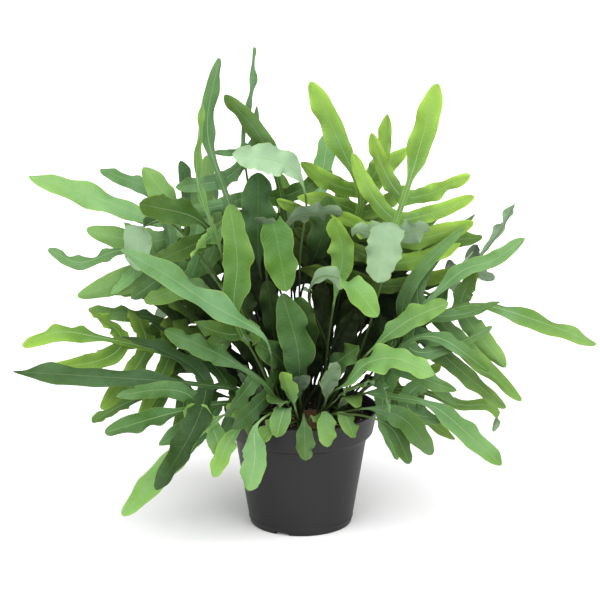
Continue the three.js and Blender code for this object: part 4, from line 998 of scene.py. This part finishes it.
def add_frond(solid, spine, corners):
    frond = spine.frond
    random = random_from(1500 + frond["number"])
    facing = spine.frames(np.linspace(spine.blade_start, spine.length, 12))[3] @ UPPER_SIDE
    turned_over = np.mean(facing) < 0
    below = 1 if turned_over else -1
    sheet = Sheet()
    edges = add_spine_strip(sheet, spine, random)
    ribs = []
    for slot in lobe_slots(spine):
        plan = lobe_plan(spine, slot)
        tip = settled_lobe(slot, plan, corners)
        if tip is not None:
            edge = edges[slot["pair"], slot["side"]]
            ribs.append(add_lobe(sheet, spine, slot, plan, tip, edge, random))
    solid.add_shell(sheet, turned_over)
    add_stipe(solid, spine, below)
    for place, normal, along, v in ribs:
        rib = place + below * BLADE_HALF_THICKNESS * normal
        maps = tube_maps(RIB_MAP_LENGTH * v)
        tones = np.tile(tone_of(frond, TUBE_LIGHT), (len(v), 1))
        solid.add_tube(rib, along, RIB_RADIUS - RIB_THINNING * v, maps, tones, RIB_SIDES)


def finish_of(frond, name):
    """A leaf with its youth (yellow-green), bloom (blue-green) and darkness; for clumps deep in the
    crown the darkness is partly painted shade.
    """
    random = random_from(2500 + frond["number"])
    young, bloom, dark = random(0.1, 0.6), random(0.1, 0.8), random(0.1, 0.6)
    for kind, depth in CLUMP_DARKNESS_AND_SHADE.items():
        dark = depth if name.startswith(kind) else dark
    return {"young": young, "bloom": bloom, "dark": dark, **frond, **FINISHES.get(name, {})}


class Value:
    """A node's output, which sums and products can take as they take a number."""

    def __init__(self, nodes, socket):
        self.nodes = nodes
        self.socket = socket

    def __add__(self, other):
        return self.nodes.math("ADD", self, other)

    def __sub__(self, other):
        return self.nodes.math("SUBTRACT", self, other)

    def __rsub__(self, other):
        return self.nodes.math("SUBTRACT", other, self)

    def __mul__(self, other):
        return self.nodes.math("MULTIPLY", self, other)


class Nodes:
    """Short ways to wire a material's nodes."""

    def __init__(self, name):
        self.material = bpy.data.materials.new(name)
        self.material.use_nodes = True
        self.tree = self.material.node_tree
        self.tree.nodes.clear()

    def add(self, kind, inputs, output=0, **settings):
        """A node with these settings and inputs; returns one of its outputs."""
        node = self.tree.nodes.new("ShaderNode" + kind)
        for key, value in settings.items():
            setattr(node, key, value)
        for key, value in inputs.items():
            socket = node.inputs[key]
            if isinstance(value, Value):
                self.tree.links.new(value.socket, socket)
            elif isinstance(value, tuple):
                socket.default_value = (*value, 1)[:len(socket.default_value)]
            else:
                socket.default_value = value
        return Value(self, node.outputs[output])

    def parts(self, kind, value):
        """The outputs of a node that takes a colour or a vector apart."""
        node = self.add(kind, {0: value}).socket.node
        return [Value(self, socket) for socket in node.outputs]

    def read(self, name, output):
        return self.add("Attribute", {}, output, attribute_name=name)

    def math(self, operation, first, second=0.0, clamp=False):
        return self.add("Math", {0: first, 1: second}, operation=operation, use_clamp=clamp)

    def ramp(self, value, low, high):
        """0 below low and 1 above high, eased between them."""
        return self.add("MapRange", {"Value": value, "From Min": low, "From Max": high}, "Result",
                        interpolation_type="SMOOTHSTEP")

    def mix(self, share, first, second, blend="MIX"):
        return self.add("Mix", {0: share, 6: first, 7: second}, 2, data_type="RGBA", blend_type=blend)

    def noise(self, scale, detail=3.0, roughness=0.5):
        place = self.add("TexCoord", {}, "Object")
        return self.add("TexNoise", {"Vector": place, "Scale": scale, "Detail": detail,
                                     "Roughness": roughness}, "Fac")

    def bump(self, height, distance, strength):
        return self.add("Bump", {"Strength": strength, "Distance": distance, "Height": height}, "Normal")

    def finish(self, **values):
        shader = self.add("BsdfPrincipled", {key.replace("_", " "): v for key, v in values.items()})
        output = self.tree.nodes.new("ShaderNodeOutputMaterial")
        self.tree.links.new(shader.socket, output.inputs[0])
        return self.material


def leaf_material():
    """Blue-green blades that yellow towards tip and edge, with pale midribs and netted veins."""
    m = Nodes("fern_leaf")
    leafmap = m.read("leafmap", "Vector")
    off, along, v = m.parts("SeparateXYZ", leafmap)
    young, bloom, light = m.parts("SeparateColor", m.read("tone", "Color"))
    under = m.read("tone", "Alpha")
    margin = m.read("margin", "Fac")
    away = m.math("ABSOLUTE", off)
    patches = m.noise(26)
    streaks = m.noise(140, 2)

    # Lateral veins leave the midrib at a slant, and finer ones net the fields between them.
    slanted = along - away * VEIN_SLANT + streaks * VEIN_WOBBLE
    phase = m.math("FRACT", m.math("DIVIDE", slanted, VEIN_SPACING))
    gap = m.math("ABSOLUTE", phase - 0.5)
    blade_share = m.ramp(v, -0.5, 0.0)
    tube = 1.0 - blade_share
    vein = (1.0 - m.ramp(gap, 0.0, 0.13)) * blade_share * m.ramp(away, 0.4, 1.4)
    cells = m.add("TexVoronoi", {"Vector": leafmap, "Scale": NET_SCALE}, "Distance",
                  feature="DISTANCE_TO_EDGE", voronoi_dimensions="2D")
    net = (1.0 - m.ramp(cells, 0.0, 0.16)) * blade_share
    midrib = 1.0 - m.ramp(away, 0.15, 0.7)

    # Colour: bloom patches on green, yellower towards the tip and the edge of young lobes.
    patchy_bloom = m.math("ADD", bloom, (patches - 0.5) * MOTTLE, clamp=True)
    colour = m.mix(patchy_bloom, LEAF_GREEN, LEAF_BLOOM)
    yellow = m.ramp(v, 0.1, 1.05) * 0.62 + 0.3 + m.ramp(margin, 0.35, 1.0) * 0.3
    colour = m.mix(m.math("MULTIPLY", yellow, young, clamp=True), colour, LEAF_YOUNG)
    for share, overlay in ((under * blade_share * UNDER_SHARE, LEAF_UNDER),
                           (m.ramp(margin, 0.9, 1.0) * 0.4, LEAF_EDGE),
                           (vein * 0.1, LEAF_VEIN),
                           (net * 0.06, LEAF_VEIN),
                           (midrib * 0.22, LEAF_VEIN),
                           (tube * 0.4, LEAF_VEIN),
                           (under * tube, STIPE_GREEN)):
        colour = m.mix(share, colour, overlay)
    # The light value darkens each blade: random tone per lobe and per leaf, with painted shade deep in
    # the crown carried in it.
    dim = light * 1.08 + 0.05 + (streaks - 0.5) * 0.16
    grey = m.add("CombineColor", {0: dim, 1: dim, 2: dim})
    height = vein * -0.4 + net * -0.35 + streaks * 0.5
    return m.finish(Base_Color=m.mix(1.0, colour, grey, "MULTIPLY"), Roughness=patches * 0.24 + 0.46,
                    Normal=m.bump(height, 0.0006, 0.7), Specular_IOR_Level=0.12)


def leafy_piece(name, leaves, corners, material):
    """One node's leaves, each a frond with its sway."""
    solid = Solid()
    for leaf, k in leaves:
        add_frond(solid, Spine(leaf, k), corners)
    # Painted shade: bloom and brightness fall off deep in the crown.
    for places, _, tones in solid.rows:
        tones[:, 1:3] *= inner_shade(places)[:, None]
    mesh = solid.mesh("leafy_" + name, material)
    mesh.set_sharp_from_angle(angle=math.radians(LEAF_SHARP_ANGLE))
    piece("leafy_" + name, mesh, "leaf", name)


def build_fern(material):
    for index, spec in enumerate(OUTLINE_FRONDS):
        name = f"frond_{index + 1:02d}"
        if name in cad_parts:
            corners = node_points(name)
            frond = finish_of(complete_frond(spec, index), name)
            leafy_piece(name, [(frond, settled_sway(frond, corners))], corners, material)
    kinds = {
        "front_clump": FRONT_CLUMPS,
        "tuft": FRONT_TUFTS + [ruled_tuft(index) for index in range(TUFT_COUNT)],
        "back_clump": [back_clump(index) for index in range(BACK_COUNT)],
        "middle_clump": MIDDLE_CLUMPS,
    }
    for kind, clumps in kinds.items():
        for c, clump in enumerate(clumps):
            name = f"{kind}_{c + 1}"
            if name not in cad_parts:
                continue
            corners = node_points(name)
            first = FIRST_NUMBERS[kind] + NUMBERS_EACH * c
            leaves = [finish_of(complete_frond(leaf, first + k), f"{name}_leaf_{k + 1}")
                      for k, leaf in enumerate(clump["leaves"])]
            sways = [settled_sway(leaf, corners) for leaf in leaves]
            leafy_piece(name, settled_leaves(clump, leaves, sways, corners), corners, material)


def moved_leaf(clump, leaf, move):
    """A leaf on its foot, where the clump's move puts it."""
    foot = np.array(clump["foot"], float) + spiral(CLUMP_SPIRAL, move)
    return {**leaf, "foot": foot + CLUMP_RADIUS * unit(np.array(leaf["path"][0][:2]) - foot)}


def settled_leaves(clump, leaves, sways, corners):
    """The leaves with the clump's move that puts their stipes where the node has them."""
    tries = []
    for move in range(CLUMP_MOVES):
        moved = [(moved_leaf(clump, leaf, move), k) for leaf, k in zip(leaves, sways)]
        gap = 0
        for leaf, k in moved:
            spine = Spine(leaf, k)
            start = np.array([spine.blade_start - STIPE_RUNOUT])
            place, _, across, normal = spine.frames(start)
            for side in (-1, 1):
                corner = place[0] + (side * across[0] + normal[0]) * STIPE_HALF_WIDTH
                gap += np.sqrt(np.min(np.sum((corners - corner) ** 2, axis=1)))
        tries.append((gap, move, moved))
    return min(tries, key=lambda entry: entry[:2])[2]


def lathe(profile, sides):
    """Points and faces of a solid of revolution; the profile runs from the axis to the axis."""
    turns = np.arange(sides) * 2 * math.pi / sides
    radii, heights = np.array(profile[1:-1]).T
    rings = np.stack([np.outer(radii, np.cos(turns)), np.outer(radii, np.sin(turns)),
                      np.outer(heights, np.ones(sides))], axis=-1)
    return closed_rings(rings, [0, 0, profile[0][1]], [0, 0, profile[-1][1]])


def arc(middle, radius, start, end, steps):
    """Points of a rounded corner, by degrees round its middle."""
    angles = np.radians(np.linspace(start, end, steps + 1))
    return [[middle[0] + radius * math.cos(a), middle[1] + radius * math.sin(a)] for a in angles]


def pot_profile():
    """Underside, outer wall, rolled lip, inner wall and floor of the pot."""
    band_foot = POT_HEIGHT - BAND_HEIGHT
    band_radius = RIM_RADIUS - BAND_TAPER
    shoulder_foot = band_foot - SHOULDER_HEIGHT
    lip_radius = 1.3

    def wall(z):
        return BASE_RADIUS + (band_radius - SHOULDER_STEP - BASE_RADIUS) * z / shoulder_foot

    def shoulder(inset):
        shares = np.linspace(1, 0, 9)
        radii = band_radius - SHOULDER_STEP * smooth(shares) - inset
        return np.stack([radii, band_foot - SHOULDER_HEIGHT * shares], axis=1).tolist()

    profile = [[0, 0], [BASE_RADIUS - 6, 0], *arc((BASE_RADIUS - 2.2, 2.2), 2.2, -90, -4, 6)]
    for step, proud in ((-1.2, 0), (-0.5, RING_PROUD), (0.5, RING_PROUD), (1.2, 0)):
        profile.append([wall(RING_HEIGHT + step) + proud, RING_HEIGHT + step])
    profile += [[wall(z), z] for z in np.linspace(12, shoulder_foot - 4, 9)]
    profile += shoulder(0)
    profile += arc((band_radius - 0.1, band_foot + 0.8), 0.8, -60, 0, 4)
    for share in np.linspace(0.1, 1, 6):
        z = band_foot + 0.8 + (BAND_HEIGHT - 3) * share
        profile.append([band_radius + 0.7 + BAND_TAPER * share * 0.8, z])
    profile += arc((RIM_RADIUS - lip_radius, POT_HEIGHT - lip_radius), lip_radius, 0, 180, 10)
    for share in np.linspace(0, 1, 5):
        radius = RIM_RADIUS - POT_WALL - 1.2 - (BAND_TAPER - 0.4) * share
        profile.append([radius, POT_HEIGHT - 3 - (BAND_HEIGHT - 3) * share])
    profile += shoulder(POT_WALL)[::-1]
    profile += [[wall(z) - POT_WALL, z] for z in np.linspace(shoulder_foot - 6, 6, 6)]
    profile += arc((BASE_RADIUS - POT_WALL - 3, POT_WALL + 3), 3, 0, -90, 4)
    return [*profile, [0, POT_WALL]]


def build_pot():
    mesh = new_mesh("nursery_pot", *lathe(pot_profile(), POT_SIDES), pot_material())
    pot = piece("nursery_pot", mesh, "pot", "pot")
    cutters = []
    for k in range(DRAIN_SLOTS):
        degrees = FIRST_SLOT_ANGLE + 360 / DRAIN_SLOTS * k
        bpy.ops.mesh.primitive_cube_add(size=1)
        cutter = bpy.context.object
        cutter.scale = (2 * SLOT_DEPTH * MM, SLOT_WIDTH * MM, 2 * SLOT_HEIGHT * MM)
        cutter.rotation_euler = (0, 0, math.radians(degrees))
        cutter.location = polar(BASE_RADIUS * MM, degrees, 0)
        rounding = cutter.modifiers.new("round", "BEVEL")
        rounding.width = SLOT_ROUNDING * MM
        rounding.segments = 3
        cut = pot.modifiers.new("slot", "BOOLEAN")
        cut.object = cutter
        cut.solver = "EXACT"
        cutters.append(cutter)
    bpy.context.view_layer.update()
    shaped = bpy.data.meshes.new_from_object(pot.evaluated_get(bpy.context.evaluated_depsgraph_get()))
    pot.modifiers.clear()
    pot.data = shaped
    for cutter in cutters:
        bpy.data.objects.remove(cutter)
    shaped.shade_smooth()
    shaped.set_sharp_from_angle(angle=math.radians(POT_SHARP_ANGLE))


def pot_material():
    m = Nodes("pot_plastic")
    broad = m.noise(12, 4)
    colour = m.mix(m.ramp(broad, 0.45, 0.8) * 0.35, POT_COLOUR, POT_DUST)
    return m.finish(Base_Color=colour, Roughness=broad * 0.16 + 0.4,
                    Normal=m.bump(m.noise(900, 2), 0.00012, 0.5), Specular_IOR_Level=0.3)


def bits(random, count, spread, size, squash):
    """Small angular lumps lying on the soil."""
    shape = np.vstack([sign * axis for axis in np.eye(3) for sign in (1, -1)])
    faces = np.array([[0, 2, 4, 4], [2, 1, 4, 4], [1, 3, 4, 4], [3, 0, 4, 4],
                      [2, 0, 5, 5], [1, 2, 5, 5], [3, 1, 5, 5], [0, 3, 5, 5]])
    for _ in range(count):
        radius = spread * math.sqrt(random(0, 1))
        angle = random(0, 2 * math.pi)
        scale = random(*size)
        jitter = np.array([[random(-BIT_JITTER, BIT_JITTER) for _ in range(3)] for _ in range(6)])
        turn = random(0, 2 * math.pi)
        points = (shape + jitter) * [scale * random(0.8, 1.8), scale, scale * squash]
        middle = [radius * math.cos(angle), radius * math.sin(angle),
                  soil_height(radius, angle) + BIT_LIFT * scale]
        yield turned(points, UP, turn) + middle, faces


def build_soil():
    random = random_from(77)
    solid = Solid()
    taper = BAND_TAPER * (POT_HEIGHT - SOIL_EDGE_HEIGHT) / BAND_HEIGHT
    top_radius = RIM_RADIUS - POT_WALL - SOIL_GAP - taper
    radii = top_radius * np.linspace(0, 1, SOIL_RINGS + 1)[1:]
    angles = np.arange(SOIL_SIDES) * 2 * math.pi / SOIL_SIDES
    grid_r, grid_a = np.meshgrid(radii, angles, indexing="ij")
    waves = [(random(0.15, 0.7), random(0, 6.28), random(0, 6.28), random(0.15, 0.45))
             for _ in range(SOIL_WAVES)]
    x, y = grid_r * np.cos(grid_a), grid_r * np.sin(grid_a)
    height = soil_height(grid_r, grid_a)
    for rate, heading, start, size in waves:
        height = height + size * np.sin(rate * (x * math.cos(heading) + y * math.sin(heading)) + start)
    floor_z = SOIL_EDGE_HEIGHT - SOIL_DEPTH
    shrink = 1 - SOIL_FLOOR_INSET / top_radius
    floor = np.stack([x[-1] * shrink, y[-1] * shrink, 0 * angles + floor_z], axis=-1)
    rings = np.concatenate([np.stack([x, y, height], axis=-1), floor[None]])
    points, faces = closed_rings(rings, [0, 0, soil_height(0.0, 0.0)], [0, 0, floor_z])
    solid.add_part(points, BLANK, BLANK, flipped(faces))
    for group, (count, size, squash, kind) in enumerate(SOIL_BITS):
        for points, faces in bits(random_from(80 + group), count, top_radius - BITS_INSET, size, squash):
            solid.add_part(points, BLANK, [kind, random(0, 1), 0, 0], faces)
    mesh = solid.mesh("potting_soil", soil_material())
    mesh.set_sharp_from_angle(angle=math.radians(SOIL_SHARP_ANGLE))
    piece("potting_soil", mesh, "soil", "soil")


def soil_material():
    """Dark peat with bark chips and a few pale grains."""
    m = Nodes("peat")
    kind, pick, _ = m.parts("SeparateColor", m.read("tone", "Color"))
    coarse = m.noise(220, 5, 0.7)
    colour = m.mix(m.ramp(coarse, 0.35, 0.7), SOIL_DARK, SOIL_BROWN)
    colour = m.mix(m.ramp(kind, 0.4, 0.7) * m.ramp(pick, 0.2, 1.0), colour, BARK)
    colour = m.mix(m.ramp(kind, 0.85, 0.95), colour, GRAIN)
    normal = m.bump(coarse + m.noise(900, 4, 0.7) * 0.6, 0.002, 0.9)
    return m.finish(Base_Color=colour, Roughness=0.95, Normal=normal, Specular_IOR_Level=0.2)


def build_rhizome():
    """Creeping arms with furry tan scales, half sunk in the soil."""
    solid = Solid()
    scales = random_from(950)
    for number in range(RHIZOME_ARMS):
        random = random_from(900 + number)
        turn = 2 * math.pi * number / RHIZOME_ARMS
        bend = random(-0.5, 0.5)
        reach = RHIZOME_REACH * random(0.8, 1.05)
        points = []
        for part in (0, 0.35, 0.7, 1):
            angle = turn + bend * part
            radius = reach * part
            z = soil_height(radius, angle) - RHIZOME_DIP * part * part
            points.append([radius * math.cos(angle), radius * math.sin(angle), z])
        thick = RHIZOME_RADIUS * random(0.8, 1)
        curve = Curve(points)
        s = np.linspace(0, curve.length, RHIZOME_ROWS)
        place, tangent = curve.at(s)
        knobs = 1 + 0.06 * np.sin(s * 0.9 + number) + 0.04 * np.sin(s * 2.1)
        rounded = np.sqrt(np.maximum(0.04, 1 - smooth((s / curve.length - 0.82) / 0.2)))
        radii = thick * RHIZOME_FULLNESS * knobs * rounded
        blank = np.zeros((RHIZOME_ROWS, 4))
        solid.add_tube(place, tangent, radii, blank, blank, RHIZOME_SIDES)
        for _ in range(SCALES_EACH):
            i = int(scales(1, RHIZOME_ROWS - 3))
            angle = scales(0, 2 * math.pi)
            first = square_to(UP, tangent[i])
            out = first * math.cos(angle) + np.cross(tangent[i], first) * math.sin(angle)
            if out[2] < -0.2:
                continue
            root = place[i] + out * radii[i] * 0.97
            lean = unit(out * scales(0.15, 0.5) + tangent[i] * scales(0.6, 1))
            wide = unit(np.cross(lean, out)) * scales(0.35, 0.6)
            tip = root + lean * scales(2.2, 4.2)
            lift = out * 0.14
            points = np.array([root - wide, root + wide, tip + lift, root + lift * 3])
            faces = np.array([[0, 1, 3, 3], [1, 2, 3, 3], [2, 0, 3, 3], [0, 2, 1, 1]])
            solid.add_part(points, BLANK, [1, scales(0, 1), 0, 0], faces)
    mesh = solid.mesh("scaly_rhizome", rhizome_material())
    piece("scaly_rhizome", mesh, "rhizome", "rhizome")


def rhizome_material():
    m = Nodes("rhizome_scales")
    kind, pick, _ = m.parts("SeparateColor", m.read("tone", "Color"))
    fuzz = m.noise(500, 4, 0.7)
    colour = m.mix(kind * pick, m.mix(fuzz, RHIZOME_DARK, RHIZOME_TAN), RHIZOME_PALE)
    return m.finish(Base_Color=colour, Roughness=0.85, Normal=m.bump(fuzz, 0.0015, 0.8),
                    Specular_IOR_Level=0.25)


def build_stage():
    bpy.ops.mesh.primitive_plane_add(size=FLOOR_SIZE, location=FLOOR_MIDDLE)
    floor = bpy.context.object
    floor.name = "studio_floor"
    m = Nodes("studio_white")
    colour = m.mix(m.noise(3), FLOOR_COLOUR, FLOOR_SHADE)
    floor.data.materials.append(m.finish(Base_Color=colour, Roughness=0.9, Specular_IOR_Level=0.1))


def build_lights():
    """An even bright surround, and one broad soft light from above."""
    world = bpy.data.worlds.new("studio")
    bpy.context.scene.world = world
    world.use_nodes = True
    sky = world.node_tree.nodes["Background"]
    sky.inputs["Color"].default_value = (1, 1, 1, 1)
    sky.inputs["Strength"].default_value = WORLD_STRENGTH
    data = bpy.data.lights.new("softbox", "SUN")
    data.energy = SUN_STRENGTH
    data.angle = math.radians(SUN_SPREAD)
    light = bpy.data.objects.new("softbox", data)
    bpy.context.scene.collection.objects.link(light)
    light.rotation_euler = [math.radians(turn) for turn in SUN_TURN]
    bpy.context.scene.view_settings.view_transform = "Standard"


def build_camera():
    data = bpy.data.cameras.new("camera")
    data.lens = CAMERA_LENS
    data.sensor_width = 36
    data.clip_end = 50
    camera = bpy.data.objects.new("camera", data)
    bpy.context.scene.collection.objects.link(camera)
    camera.location = CAMERA_PLACE
    camera.rotation_euler = (math.radians(90 - CAMERA_PITCH), 0, 0)
    bpy.context.scene.camera = camera


build_fern(leaf_material())
build_pot()
build_soil()
build_rhizome()
build_stage()
build_lights()
build_camera()
